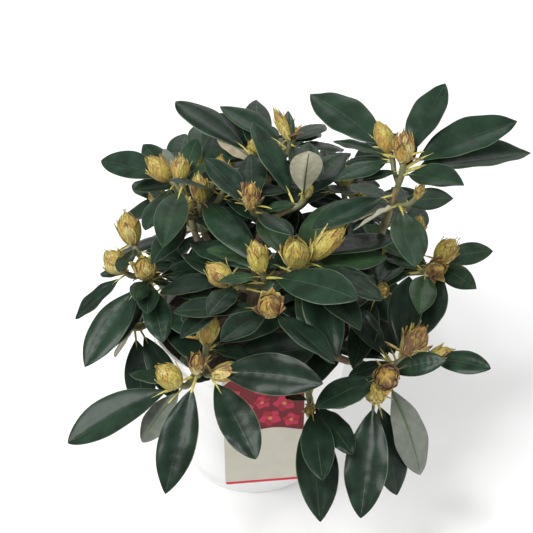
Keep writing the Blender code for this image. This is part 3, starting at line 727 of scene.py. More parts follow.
def twig_path(begin, shoot, rng):
    """A twig's line from where it begins to the shoot's tip, with a bow of its own."""
    tip = Vector(shoot.tip)
    reach = (tip - begin).length
    bow = Vector((rng.uniform(-1, 1), rng.uniform(-1, 1), rng.uniform(-0.3, 0.8)))
    aim = heading(*shoot.bud[:2])
    low = begin.lerp(tip, LEAVE_SHARE) + bow * reach * TWIG_BOW
    return bezier(begin, low, tip - aim * reach * ARRIVE_SHARE, tip + aim, TWIG_RINGS)


def grow_twigs(growth, name, mass, rng):
    """The mass's own stem from its foot to a hub, and a twig to each tip from there or a fork."""
    foot = Vector(mass.foot)
    start = foot + (middle_of(mass) - foot).normalized() * GAP
    hub = foot.lerp(middle_of(mass), HUB_SHARE)
    growth.add_twig(name, 0, [start, start.lerp(hub, 0.5), hub], [BOUGH_TIP] * 3)
    paths = []
    for index, shoot in enumerate(mass.shoots, 1):
        begin = hub
        radii = spread(BOUGH_TIP - 0.1, TWIG_TIP, TWIG_RINGS)
        if shoot.fork:
            leaves_from, back = shoot.fork
            begin = point_back(paths[leaves_from - 1], back)
            radii = spread(TWIG_TIP, FORK_TIP, TWIG_RINGS)
        for _ in range(TWIG_TRIES):
            path = twig_path(begin, shoot, rng)
            if not growth.touches(name, tube(path, radii, TWIG_SIDES, CLEARANCE)):
                break
        growth.add_twig(name, index, path, radii)
        paths.append(path)
    return paths


def point_back(path, distance):
    """The point this far back from the path's end."""
    for a, b in zip(reversed(path), reversed(path[:-1])):
        step = (a - b).length
        if distance <= step:
            return a.lerp(b, distance / step)
        distance -= step
    return path[0]


def new_leaf(path, back, bearing, rise, length, rng):
    root = point_back(path, back)
    width = length * LEAF_WIDTH_SHARE * rng.uniform(*WIDTH_SPREAD)
    return Leaf(root, bearing, rise, length, width, rng.uniform(-ROLL_SPREAD, ROLL_SPREAD))


def grow_named_leaves(growth, name, mass, paths, rng):
    for index, (shoot, path) in enumerate(zip(mass.shoots, paths), 1):
        for order, (bearing, rise, length, *turned) in enumerate(shoot.leaves):
            back = shoot.first + LEAF_SPACING * order
            leaf = new_leaf(path, back, bearing, rise, length, rng)
            if turned:
                leaf = leaf._replace(roll=turned[0])
            growth.add_leaf(name, index, leaf, SMALL_NUDGES, index)


def grow_rule_leaves(growth, name, mass, paths, rng):
    """Fills each whorl up by the golden angle, then adds older leaves further down."""
    for index, (shoot, path) in enumerate(zip(mass.shoots, paths), 1):
        bearing = rng.uniform(0, 360)
        for order in range(len(shoot.leaves), shoot.whorl):
            bearing += GOLDEN_ANGLE
            rise = rng.uniform(*NEW_RISES) - NEW_RISE_STEP * order
            length = rng.uniform(*NEW_LENGTHS)
            back = shoot.first + LEAF_SPACING * order
            leaf = new_leaf(path, back, bearing, rise, length, rng)
            growth.add_leaf(name, index, leaf, WIDE_NUDGES, index)
        if index % OLDER_EVERY == 1 and shoot.whorl == LEAF_COUNT:
            rise = rng.uniform(*OLDER_RISES)
            length = rng.uniform(*OLDER_LENGTHS)
            leaf = new_leaf(path, OLDER_START, bearing + GOLDEN_ANGLE, rise, length, rng)
            growth.add_leaf(name, index, leaf, WIDE_NUDGES, index)


def pot_guard():
    """The space of the pot, its mix and the label, which foliage stays out of."""
    heights = (0, POT_HEIGHT - RIM_DEPTH, POT_HEIGHT + 1)
    path = [Vector((0, 0, height)) for height in heights]
    return tube(path, (POT_BASE_RADIUS, RIM_RADIUS + 1, RIM_RADIUS + 2), POT_STEPS)


def label_guard():
    """The space of the label's card, which foliage stays out of."""
    out = heading(LABEL_BEARING, 0)
    across = heading(LABEL_BEARING + 90, 0) * (LABEL_WIDTH / 2 + LABEL_THICKNESS)
    rings = []
    for height in (LABEL_BOTTOM - 1, LABEL_TOP + 1):
        near = out * (RIM_RADIUS - 1) + Vector((0, 0, height))
        far = out * (RIM_RADIUS + 2 * LABEL_THICKNESS) + Vector((0, 0, height))
        rings.append([near - across, far - across, far + across, near + across])
    return loft(rings)


def grow_plant(routes):
    """The growth of the solids, with the same seeds in the same order."""
    growth = Growth()
    growth.keep("pot", pot_guard())
    growth.keep("label", label_guard())
    growth.keep("stem", stem_body())
    for name, path in routes.items():
        growth.keep("bough_" + name, bough_body(path))
    rngs = {name: random.Random(7 + 11 * i) for i, name in enumerate(MASSES)}
    paths = {name: grow_twigs(growth, name, mass, rngs[name]) for name, mass in MASSES.items()}
    for name, mass in MASSES.items():
        for index, (shoot, path) in enumerate(zip(mass.shoots, paths[name]), 1):
            growth.add_bud(name, Vector(shoot.tip), shoot.bud, index)
    for name, mass in MASSES.items():
        grow_named_leaves(growth, name, mass, paths[name], rngs[name])
    for name, mass in MASSES.items():
        grow_rule_leaves(growth, name, mass, paths[name], rngs[name])
    return growth, paths


def path_length(path):
    return sum((a - b).length for a, b in zip(path, path[1:]))


def in_reach(body, box):
    low, high = box
    return all(
        low[axis] <= corner[axis] <= high[axis] for corner in body.corners for axis in range(3)
    )


def add_fine_leaf(growth, name, index, leaf, spray, box):
    if in_reach(leaf_body(leaf), box):
        growth.add_leaf(name, index, leaf, WIDE_NUDGES, spray)


def grow_side_twig(growth, name, index, path, bearing, rng, box):
    """A finer twig from the side of a twig, with its own small bud and whorl."""
    back = rng.uniform(SIDE_START, max(SIDE_START, path_length(path) * SIDE_SPAN))
    start = point_back(path, back)
    reach = rng.uniform(*SIDE_LENGTHS)
    aim = heading(bearing, rng.uniform(*SIDE_RISES))
    tip = start + aim * reach
    end_aim = (aim + SIDE_UPTURN).normalized()
    leave, arrive = SIDE_CURVE
    line = bezier(start, start + aim * reach * leave, tip - end_aim * reach * arrive, tip, TWIG_RINGS)
    radii = spread(*SIDE_RADII, TWIG_RINGS)
    body = tube(line[1:], radii[1:], TWIG_SIDES, CLEARANCE)
    twig_index = (index, bearing)
    if growth.touches(name, body, body, ("twig", twig_index)) or not in_reach(body, box):
        return
    growth.add_twig(name, twig_index, line, radii)
    growth.buds[name].append((tip, (bearing, *SIDE_BUD)))
    for order in range(SIDE_LEAVES):
        bearing += GOLDEN_ANGLE
        rise = rng.uniform(*NEW_RISES)
        length = rng.uniform(*SIDE_LEAF_LENGTHS)
        leaf = new_leaf(line, SIDE_LEAF_SPACING * (order + 1), bearing, rise, length, rng)
        add_fine_leaf(growth, name, twig_index, leaf, (index, "side"), box)


def stands_open(shoot):
    """True for a shoot whose leaves are all placed, with sky between them."""
    return shoot.whorl < LEAF_COUNT or len(shoot.leaves) >= LEAF_COUNT


def grow_finer(growth, paths, box):
    """Carries each mass to small leaves, lower leaves and side twigs within its reach."""
    for i, (name, mass) in enumerate(MASSES.items()):
        rng = random.Random(501 + 13 * i)
        for index, (shoot, path) in enumerate(zip(mass.shoots, paths[name]), 1):
            bearing = rng.uniform(0, 360)
            inward = math.degrees(math.atan2(-path[-1].y, -path[-1].x))
            aside = inward + rng.uniform(-SMALL_ASIDE, SMALL_ASIDE)
            length = rng.uniform(*SMALL_LENGTHS)
            leaf = new_leaf(path, SMALL_BACK, aside, rng.uniform(*SMALL_RISES), length, rng)
            add_fine_leaf(growth, name, index, leaf, (index, "small"), box)
            if stands_open(shoot):
                continue
            bearing += GOLDEN_ANGLE
            rise = rng.uniform(*OLDER_RISES)
            leaf = new_leaf(path, LOWER_BACK, bearing, rise, rng.uniform(*LOWER_LENGTHS), rng)
            add_fine_leaf(growth, name, index, leaf, index, box)
            bearing += GOLDEN_ANGLE
            grow_side_twig(growth, name, index, path, bearing, rng, box)


def unit(vectors):
    return vectors / np.linalg.norm(vectors, axis=-1, keepdims=True)


def signed_volume(grid):
    """Six times the volume inside the rings of a closed grid, its open ends apart."""
    a = grid[:-1]
    b = np.roll(a, -1, axis=1)
    d = grid[1:]
    c = np.roll(d, -1, axis=1)
    middle = grid.reshape(-1, 3).mean(axis=0)
    first = np.einsum("ijk,ijk->", a - middle, np.cross(b - middle, c - middle))
    second = np.einsum("ijk,ijk->", a - middle, np.cross(c - middle, d - middle))
    return first + second


class Store:
    """Joins closed bodies into one mesh, each face with its own finish."""

    def __init__(self):
        self.corners = []
        self.loops = []
        self.sizes = []
        self.finishes = []
        self.count = 0

    def add(self, corners, loops, sizes, finishes):
        self.corners.append(np.asarray(corners, dtype=np.float64))
        self.loops.append(np.asarray(loops, dtype=np.int64) + self.count)
        self.sizes.append(np.asarray(sizes, dtype=np.int64))
        self.finishes.append(np.asarray(finishes, dtype=np.int64))
        self.count += len(corners)

    def add_grid(self, grid, finish=0):
        """A closed loft through rows of corners. The finish is one number, or one for each
        face of the grid, row by row."""
        rows, columns = grid.shape[:2]
        finishes = np.broadcast_to(np.asarray(finish), (rows - 1, columns))
        if signed_volume(grid) < 0:
            grid = grid[:, ::-1]
            finishes = np.roll(finishes[:, ::-1], -1, axis=1)
        index = np.arange(rows * columns).reshape(rows, columns)
        a = index[:-1]
        b = np.roll(a, -1, axis=1)
        d = index[1:]
        c = np.roll(d, -1, axis=1)
        quads = np.stack([a, b, c, d], axis=-1).reshape(-1)
        sizes = np.full((rows - 1) * columns, 4)
        loops = np.concatenate([quads, index[0][::-1], index[-1]])
        ends = [finishes[0, 0], finishes[-1, 0]]
        self.add(
            grid.reshape(-1, 3),
            loops,
            np.concatenate([sizes, [columns, columns]]),
            np.concatenate([finishes.reshape(-1), ends]),
        )

    def add_plate(self, outline, place, back, front, finish=0):
        """A flat plate from its outline, between two depths."""
        grid = np.array([[place(x, z, depth) for x, z in outline] for depth in (back, front)])
        self.add_grid(grid, finish)

    def build(self, name, materials, sharp=45):
        sizes = np.concatenate(self.sizes)
        loops = np.concatenate(self.loops)
        corners = np.concatenate(self.corners) * MM
        mesh = bpy.data.meshes.new(name)
        mesh.vertices.add(len(corners))
        mesh.vertices.foreach_set("co", corners.ravel())
        mesh.loops.add(len(loops))
        mesh.loops.foreach_set("vertex_index", loops)
        mesh.polygons.add(len(sizes))
        mesh.polygons.foreach_set("loop_start", np.concatenate([[0], np.cumsum(sizes)[:-1]]))
        mesh.polygons.foreach_set("material_index", np.concatenate(self.finishes))
        for made in materials:
            mesh.materials.append(made)
        mesh.update(calc_edges=True)
        mesh.validate()
        mesh.shade_smooth()
        mesh.set_sharp_from_angle(angle=math.radians(sharp))
        piece = bpy.data.objects.new(name, mesh)
        bpy.context.scene.collection.objects.link(piece)
        return piece


def settle(piece, slot, *nodes):
    """The piece rides on the plant's one body and stands for these nodes."""
    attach(piece, "root")
    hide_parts(*nodes)


class Finish:
    """A procedural material on one Principled shader."""

    def __init__(self, name, colour, roughness, **sockets):
        self.material = bpy.data.materials.new(name)
        self.material.use_nodes = True
        self.tree = self.material.node_tree
        self.shader = self.tree.nodes["Principled BSDF"]
        self.shader.inputs["Base Color"].default_value = (*colour, 1)
        self.shader.inputs["Roughness"].default_value = roughness
        for socket, value in sockets.items():
            self.shader.inputs[socket.replace("_", " ")].default_value = value
        self.colour = colour
        self.place = self.node("ShaderNodeTexCoord").outputs["Object"]

    def node(self, kind, **settings):
        made = self.tree.nodes.new(kind)
        for key, value in settings.items():
            setattr(made, key, value)
        return made

    def link(self, source, target):
        self.tree.links.new(source, target)

    def noise(self, size, detail=3.0, stretch=None):
        """Noise whose patches are about this many millimetres across."""
        place = self.place
        if stretch:
            mapping = self.node("ShaderNodeMapping")
            mapping.inputs["Scale"].default_value = stretch
            self.link(place, mapping.inputs["Vector"])
            place = mapping.outputs["Vector"]
        made = self.node("ShaderNodeTexNoise")
        made.inputs["Scale"].default_value = 1 / (size * MM)
        made.inputs["Detail"].default_value = detail
        self.link(place, made.inputs["Vector"])
        return made.outputs["Fac"]

    def ramp(self, source, *stops):
        """Turns a value into colours or greys, from stops of (place, colour)."""
        made = self.node("ShaderNodeValToRGB")
        elements = made.color_ramp.elements
        while len(elements) < len(stops):
            elements.new(0.5)
        for element, (place, colour) in zip(elements, stops):
            element.position = place
            element.color = (*colour, 1)
        self.link(source, made.inputs["Fac"])
        return made.outputs["Color"]

    def mottle(self, size, low, high, detail=3.0, stretch=None):
        """Shifts the colour from low to high multiples of itself in patches of this size."""
        dim = [min(1, part * low) for part in self.colour]
        light = [min(1, part * high) for part in self.colour]
        return self.ramp(self.noise(size, detail, stretch), (0.32, dim), (0.68, light))

    def colour_from(self, source):
        self.link(source, self.shader.inputs["Base Color"])

    def roughness_between(self, source, low, high):
        made = self.node("ShaderNodeMapRange")
        made.inputs["To Min"].default_value = low
        made.inputs["To Max"].default_value = high
        self.link(source, made.inputs["Value"])
        self.link(made.outputs["Result"], self.shader.inputs["Roughness"])

    def bump(self, source, height, strength=1.0):
        """Raises the surface by this many millimetres, on top of any bump before it."""
        made = self.node("ShaderNodeBump")
        made.inputs["Strength"].default_value = strength
        made.inputs["Distance"].default_value = height * MM
        self.link(source, made.inputs["Height"])
        before = self.shader.inputs["Normal"]
        if before.is_linked:
            self.link(before.links[0].from_socket, made.inputs["Normal"])
        self.link(made.outputs["Normal"], before)


def leaf_top_finish(name, colour):
    """Leathery, with a soft gloss that varies and a fine grain."""
    made = Finish(name, colour, 0.4, Specular_IOR_Level=0.1, Coat_Weight=0.11, Coat_Roughness=0.2)
    made.colour_from(made.mottle(14, 0.66, 1.42, 7))
    made.roughness_between(made.noise(9, 4), 0.28, 0.46)
    made.bump(made.noise(7, 3), 0.5, 0.6)
    made.bump(made.noise(2.2, 4), 0.28, 0.6)
    return made.material


def felt_finish(name, colour):
    """The felted underside."""
    made = Finish(name, colour, 0.95, Sheen_Weight=0.35, Sheen_Roughness=0.6)
    made.colour_from(made.mottle(7, 0.8, 1.2, 6))
    made.bump(made.noise(0.8, 5), 0.15, 0.7)
    return made.material


def soft_finish(name, colour, roughness, grain):
    """Young green tissue, such as a margin, a midrib or a leaf stalk."""
    made = Finish(name, colour, roughness)
    made.colour_from(made.mottle(grain * 6, 0.75, 1.3, 4))
    made.bump(made.noise(grain, 3), 0.08, 0.5)
    return made.material


def scale_finish(name, colour):
    """A papery bud scale, streaked along the bud."""
    made = Finish(name, colour, 0.62, Sheen_Weight=0.1)
    made.colour_from(made.mottle(1.6, 0.55, 1.35, 6, (1, 1, 0.16)))
    made.bump(made.noise(0.9, 5, (1, 1, 0.2)), 0.3, 0.8)
    return made.material


def bark_finish(name, colour):
    """Dull bark with fine cracks."""
    made = Finish(name, colour, 0.85)
    made.colour_from(made.mottle(4, 0.55, 1.5, 7, (1, 1, 0.35)))
    made.roughness_between(made.noise(2, 3), 0.72, 0.95)
    made.bump(made.noise(1.2, 6, (1, 1, 0.3)), 0.4, 0.8)
    return made.material


def pot_finish():
    """Moulded plastic with a faint haze of handling."""
    made = Finish("pot_white_plastic", (0.84, 0.84, 0.83), 0.42)
    made.colour_from(made.mottle(60, 0.97, 1.02, 4))
    made.roughness_between(made.noise(14, 5), 0.34, 0.55)
    made.bump(made.noise(0.7, 3), 0.03, 0.4)
    return made.material


def mix_finish(name, colour):
    made = Finish(name, colour, 0.95)
    made.colour_from(made.mottle(3, 0.45, 1.7, 8))
    made.bump(made.noise(1.5, 8), 1.0, 0.9)
    return made.material


def card_finish(name, colour, roughness=0.45):
    """Printed card under a thin film."""
    made = Finish(name, colour, roughness, Specular_IOR_Level=0.25)
    made.colour_from(made.mottle(18, 0.95, 1.04, 4))
    made.bump(made.noise(0.9, 4), 0.02, 0.4)
    return made.material


class Blade(NamedTuple):
    """How one leaf's blade bends across its width."""

    fold: float
    curl: float
    twist: float
    tip_power: float
    wave: float
    waves: float
    phase: float


def new_blade(rng):
    return Blade(
        fold=rng.uniform(0.08, 0.52),
        curl=rng.uniform(0.08, 0.34),
        twist=rng.uniform(-12, 12),
        tip_power=rng.uniform(0.74, 1.02),
        wave=rng.uniform(0.2, 0.9),
        waves=rng.uniform(1.5, 3.5),
        phase=rng.uniform(0, math.tau),
    )


def blade_outline(share, tip_power):
    """Half width along the blade as a share of the widest: a wedge foot and a pointed tip."""
    peak = FOOT_POWER / (FOOT_POWER + tip_power)
    widest = peak**FOOT_POWER * (1 - peak) ** tip_power
    return share**FOOT_POWER * (1 - share) ** tip_power / widest


def blade_height(blade, share, half, column):
    """Height of the blade over its flat plane: folded at the midrib, rolled down at the
    margins, lightly waved, and raised between the lateral veins."""
    side = np.abs(column)
    fold = half * (blade.fold * (side - 0.5) - blade.curl * (side**3 - 0.25))
    turn = math.tau * blade.waves * share + blade.phase + np.sign(column)
    waves = blade.wave * side**2 * np.sin(turn)
    vein = (share - VEIN_SLANT * side) * VEIN_PAIRS
    between = np.minimum(1, VEIN_FADE * side) * (1 - side**4)
    quilt = VEIN_RELIEF * np.abs(np.sin(math.pi * vein)) * between
    waves = waves * np.minimum(1, half / WAVE_HALF_WIDTH)
    quilt = quilt * np.minimum(1, half / VEIN_HALF_WIDTH)
    return fold + waves + quilt


def leaf_lines(leaf, shares, twist):
    """The midrib's points at these shares of the length, with the ways across and up."""
    bend = math.radians(LEAF_ARCH)
    base = math.radians(leaf.rise) + bend / 2
    here = base - bend * shares
    out = leaf.length * (math.sin(base) - np.sin(here)) / bend
    rise = leaf.length * (np.cos(here) - math.cos(base)) / bend
    level = np.array(heading(leaf.bearing, 0))
    across = np.array(heading(leaf.bearing - 90, 0))
    points = np.array(leaf.root) + np.outer(out, level) + np.outer(rise, UP)
    along = np.outer(np.cos(here), level) + np.outer(np.sin(here), UP)
    normal = np.cross(across, along)
    turn = np.radians(leaf.roll + twist * shares)[:, None]
    turned_across = across * np.cos(turn) - normal * np.sin(turn)
    turned_up = normal * np.cos(turn) + across * np.sin(turn)
    return points, turned_across, turned_up


def thin_shell(points, across, up, reach, height, thick):
    """A closed shell about a bent face: points across it, raised, with this thickness."""
    flat = points[:, None] + across[:, None] * reach[..., None]
    top = flat + up[:, None] * (height + thick / 2)[..., None]
    bottom = flat + up[:, None] * (height - thick / 2)[..., None]
    return np.concatenate([top, bottom[:, ::-1]], axis=1)


def add_blade(store, leaf, blade):
    """The blade as a thin shell with its upper face, its felt and its margin."""
    rows = BLADE_ROWS if leaf.length > SMALL_BLADE_LENGTH else SMALL_BLADE_ROWS
    eased = 0.5 - 0.5 * np.cos(np.linspace(*BLADE_ENDS, rows))
    share = 0.5 * eased + 0.5 * np.linspace(eased[0], eased[-1], rows)
    points, across, up = leaf_lines(leaf, BLADE_START + (1 - BLADE_START) * share, blade.twist)
    half = (leaf.width / 2 * blade_outline(share, blade.tip_power))[:, None]
    columns = BLADE_COLUMNS[None, :]
    height = blade_height(blade, share[:, None], half, columns)
    edge = np.abs(columns) ** 4
    thick = BLADE_THICKNESS * (1 - edge) + MARGIN_THICKNESS * edge
    grid = thin_shell(points, across, up, half * columns, height, thick)
    faces = len(BLADE_COLUMNS) - 1
    finish = [MARGIN, *[UPPER] * (faces - 2), MARGIN, MARGIN, *[FELT] * faces, MARGIN]
    store.add_grid(grid, np.array(finish)[None, :])


def round_grid(path, radii, sides, relief=0.0):
    """Rows of corners round a path. The relief is a share of the radius at each corner."""
    path = [Vector(point) for point in path]
    frames = frames_along(path)
    across = np.array([tuple(first) for first, _ in frames])[:, None]
    other = np.array([tuple(second) for _, second in frames])[:, None]
    turn = np.linspace(0, math.tau, sides, endpoint=False)[None, :, None]
    spokes = across * np.cos(turn) + other * np.sin(turn)
    reach = np.asarray(radii)[:, None] * (1 + relief)
    centres = np.array([tuple(point) for point in path])[:, None]
    return centres + spokes * np.broadcast_to(reach, (len(path), sides))[..., None]


def add_rib(store, leaf, blade, rng):
    """The leaf stalk, which runs on as the midrib."""
    share = np.linspace(0, RIB_END, RIB_ROWS)
    points, _, up = leaf_lines(leaf, share, blade.twist)
    on_blade = np.clip((share - BLADE_START) / (1 - BLADE_START), 0, 1)
    half = leaf.width / 2 * blade_outline(on_blade, blade.tip_power)
    size = leaf.length / 100
    radius = size * (RIB_TIP + (RIB_FOOT - RIB_TIP) * (1 - share) ** RIB_TAPER) + RIB_LEAST
    height = blade_height(blade, on_blade, half, np.zeros_like(share)) + BLADE_THICKNESS / 2
    settled = np.minimum(1, on_blade * RIB_SINK)
    path = points + up * (height * settled - settled * (radius - RIB_PROUD))[:, None]
    finish = np.where(share[1:] < rng.uniform(BLADE_START, STALK_END), 0, 1)[:, None]
    store.add_grid(round_grid(path, radius, RIB_SIDES), finish)


def smooth_path(points, step):
    """The line rounded through its points, with a new point about every step."""
    ends = [points[0] * 2 - points[1], *points, points[-1] * 2 - points[-2]]
    fine = []
    for a, b, c, d in zip(ends, ends[1:], ends[2:], ends[3:]):
        count = max(1, round((c - b).length / step))
        for i in range(count):
            t = i / count
            curve = (a * 2 - b * 5 + c * 4 - d) * t * t + (b * 3 - a - c * 3 + d) * t**3
            fine.append((b * 2 + (c - a) * t + curve) * 0.5)
    fine.append(points[-1].copy())
    return fine


def distances_along(path):
    return np.concatenate([[0], np.cumsum([(b - a).length for a, b in zip(path, path[1:])])])


def shares_along(path):
    return distances_along(path) / path_length(path)


def radii_along(fine, path, radii):
    """The given radii carried over to the points of the finer line."""
    return np.interp(shares_along(fine), shares_along(path), radii)


def bark_relief(rng, rows, sides, length):
    """Ridges and cracks that run along a limb and wander round it, with a few leaf scars."""
    turn = np.linspace(0, math.tau, sides, endpoint=False)[None, :]
    along = np.linspace(0, length, rows)[:, None]
    relief = np.zeros((rows, sides))
    for _ in range(RIDGE_LAYERS):
        ridges = rng.randint(3, max(4, sides // 4))
        drift = rng.uniform(-0.05, 0.05)
        swell = 0.6 + 0.4 * np.sin(along * rng.uniform(0.05, 0.2) + rng.uniform(0, 6))
        relief += swell * np.sin(ridges * turn + drift * along * ridges / 4 + rng.uniform(0, 6))
    relief = -np.abs(relief) ** 0.8 * BARK_DEPTH / 3
    for _ in range(max(2, int(length / SCAR_SPACING))):
        at = rng.uniform(0, length)
        side = rng.uniform(0, math.tau)
        away = np.angle(np.exp(1j * (turn - side)))
        scar = np.exp(-((along - at) / SCAR_LENGTH) ** 2 - (away / SCAR_TURN) ** 2)
        relief += SCAR_HEIGHT * BARK_DEPTH * scar
    return relief


def stem_grid(rng):
    """The main stem, with lobes that run into its root flare."""
    path = stem_path()
    radii = [STEM_FLARE, *spread(STEM_FOOT, STEM_TIP, len(path) - 1)]
    fine = smooth_path(path, STEM_STEP)
    height = np.array([point.z for point in fine]) - SOIL_LEVEL
    flare = np.clip(1 - height / (STEM_FLARE_HEIGHT * 2), 0, 1) ** 2
    turn = np.linspace(0, math.tau, FINE_STEM_SIDES, endpoint=False)[None, :]
    lobes = ROOT_LOBES * flare[:, None] * (np.cos(5 * turn + 0.6) + 0.5 * np.cos(3 * turn))
    relief = bark_relief(rng, len(fine), FINE_STEM_SIDES, STEM_TOP - SOIL_LEVEL) + lobes
    return round_grid(fine, radii_along(fine, path, radii), FINE_STEM_SIDES, relief)


def bough_grid(rng, route):
    """A bough, thicker at the collar where it leaves the stem."""
    fine = smooth_path(route, BOUGH_STEP)
    wide = radii_along(fine, route, spread(BOUGH_FOOT, BOUGH_TIP, BOUGH_RINGS))
    distance = shares_along(fine) * path_length(fine)
    past = np.maximum(distance - COLLAR_START, 0)
    collar = 1 + COLLAR_SWELL * np.exp(-((past / COLLAR_LENGTH) ** 2))
    relief = bark_relief(rng, len(fine), FINE_BOUGH_SIDES, distance[-1])
    return round_grid(fine, wide * collar, FINE_BOUGH_SIDES, relief)


def make_limbs(routes):
    """The main stem and its boughs, with bark in relief."""
    store = Store()
    rng = random.Random(61)
    store.add_grid(stem_grid(rng))
    for route in routes.values():
        store.add_grid(bough_grid(rng, route))
    piece = store.build("limbs", [bark_finish("stem_bark", (0.13, 0.095, 0.06))], sharp=70)
    settle(piece, "bark", *LIMB_NODES)


def make_twigs(growth):
    """The twigs: old wood, then young shoots whose last stretch is still green."""
    store = Store()
    for i, name in enumerate(MASSES):
        rng = random.Random(907 + 5 * i)
        for path, radii in growth.twigs[name]:
            fine = smooth_path(path, TWIG_STEP)
            left = (1 - shares_along(fine)) * path_length(path)
            nodes = 1 + NODE_SWELL * np.exp(-(((left - NODE_BACK) / NODE_LENGTH) ** 2))
            wide = radii_along(fine, path, radii) * nodes
            relief = bark_relief(rng, len(fine), FINE_TWIG_SIDES, left[0])
            finish = np.where(left[1:] < YOUNG_LENGTH, 1, 0)[:, None]
            store.add_grid(round_grid(fine, wide, FINE_TWIG_SIDES, relief), finish)
    old = bark_finish("twig_bark", (0.17, 0.13, 0.06))
    young = soft_finish("young_shoot", (0.11, 0.11, 0.048), 0.55, 0.9)
    piece = store.build("twigs", [old, young], sharp=70)
    settle(piece, "bark", *FOLIAGE_NODES)


def draw_tint(name, spray, rng):
    """The tint of a spray: its own if it has one, or else drawn."""
    young = isinstance(spray, tuple)
    weights = YOUNG_WEIGHTS if young else [often for _, _, often in TINTS.values()]
    drawn = rng.choices(list(TINTS), weights)[0]
    return SPRAY_TINTS.get((name, spray), drawn)


def make_leaves(growth):
    """Every leaf, in one piece for each tint that the sprays have, and their midribs."""
    blades = {tint: Store() for tint in TINTS}
    ribs = Store()
    for i, name in enumerate(MASSES):
        rng = random.Random(211 + 17 * i)
        chosen = {}
        for spray, leaf in growth.leaves[name]:
            if spray not in chosen:
                chosen[spray] = draw_tint(name, spray, rng)
            blade = new_blade(rng)
            tint = UPRIGHT_TINT if leaf.rise > UPRIGHT_RISE else chosen[spray]
            add_blade(blades[tint], leaf, blade)
            add_rib(ribs, leaf, blade, rng)
    margin = soft_finish("leaf_margin", MARGIN_COLOUR, 0.5, 1.5)
    for tint, (top, felt, _) in TINTS.items():
        upper = leaf_top_finish("leaf_top_" + tint, top)
        finishes = [upper, felt_finish("leaf_felt_" + tint, felt), margin]
        settle(blades[tint].build("leaves_" + tint, finishes, sharp=60), "leaf", *FOLIAGE_NODES)
    stalk = soft_finish("leaf_stalk", STALK_COLOUR, 0.5, 0.8)
    midrib = soft_finish("leaf_midrib", MIDRIB_COLOUR, 0.45, 0.8)
    settle(ribs.build("leaf_ribs", [stalk, midrib], sharp=60), "leaf", *FOLIAGE_NODES)


def bud_radius(share):
    """The bud's radius along its length, as a share of the widest."""
    share = np.clip(share, 0, SCALE_TIP)
    return (1 - share) ** 1.05 * (0.38 + 3.0 * share) / BUD_WIDEST


def bud_place(base, bud):
    """A way from (height, angle, radius) round the bud to points in space."""
    along = np.array(heading(bud[0], bud[1]))
    guide = np.array([0.0, 0.0, 1.0]) if abs(along[2]) < 0.9 else np.array([1.0, 0.0, 0.0])
    across = unit(np.cross(guide, along))
    other = np.cross(along, across)
    start = np.array(base)

    def place(height, angle, radius):
        spoke = across * np.cos(angle)[..., None] + other * np.sin(angle)[..., None]
        return start + along * height[..., None] + spoke * radius[..., None]

    return place


def scale_grid(place, bud, rank, angle, dry, rng):
    """A scale's shape: as wide as its turn round the bud, lifted and flared at its tip."""
    length, width = bud[2:]
    low = 0.2 * rank
    high = 0.68 + 0.4 * rank + rng.uniform(-0.09, 0.07)
    share = np.linspace(0, SCALE_TIP, SCALE_ROWS)[:, None]
    column = SCALE_COLUMNS[None, :]
    half = math.radians(SCALE_TURN - 8 * rank) * (1 - share) ** 1.05 * (0.75 + 1.6 * share)
    at = low + (high - low) * share
    flare = rng.uniform(0.0, 0.06 + 0.3 * dry + min(1, 8 * dry) * 0.3 * (1 - rank))
    lift = width * (flare * share**4 + 0.045 * (1 - rank) + 0.03 * column**2 * share)
    ribs = width * 0.009 * np.cos(column * math.pi * 4) * np.minimum(1, 3 * (1 - share))
    radius = width / 2 * (BUD_WIDEST * bud_radius(at)) + lift + ribs
    height = length * at + length * 0.02 * (1 - column**2)
    turn = angle + half * column + rng.uniform(-0.3, 0.3) * share**3
    outer = place(height, turn, radius)
    inner = place(height, turn, radius - SCALE_THICKNESS)
    return np.concatenate([outer, inner[:, ::-1]], axis=1)


def scale_colours(columns, rank, dry, rng):
    """A scale's colour, face by face, with ochre and brown streaks towards its tip."""
    body = GREEN
    if rng.random() < dry + 0.25 * (1 - rank):
        body = rng.choice([OCHRE, STRAW, BROWN, BROWN] if rng.random() < dry else [OCHRE, STRAW])
    finish = np.full((SCALE_ROWS - 1, columns), body)
    faces = len(SCALE_COLUMNS) - 1
    tip = 3 + int(3 * dry)
    for face in range(faces):
        if rng.random() < 0.12 + 0.4 * dry:
            finish[rng.randint(4, 8):, face] = OCHRE if body == GREEN else BROWN
        finish[-rng.randint(1, tip):, face] = OCHRE
        if face in (0, faces - 1) or rng.random() < dry:
            finish[-rng.randint(1, tip - 1):, face] = BROWN
    return finish


def add_scales(store, base, bud, dry, count, rng):
    """A core wrapped in scales, from the loose outer ones (rank 0) to the inner (rank 1)."""
    share = np.linspace(0.0, 0.98, CORE_ROWS)
    path = np.array(base) + np.outer(share * bud[2], np.array(heading(*bud[:2])))
    core = np.minimum(bud_radius(share), 1.05) * bud[3] / 2 - CORE_INSET
    grid = round_grid(path, np.maximum(core, CORE_LEAST), CORE_SIDES)
    store.add_grid(grid, GREEN if dry < 0.5 else OCHRE)
    place = bud_place(base, bud)
    angle = rng.uniform(0, math.tau)
    for order in range(count):
        angle += math.radians(GOLDEN_ANGLE)
        rank = order / (count - 1)
        grid = scale_grid(place, bud, rank, angle, dry, rng)
        store.add_grid(grid, scale_colours(grid.shape[1], rank, dry, rng))


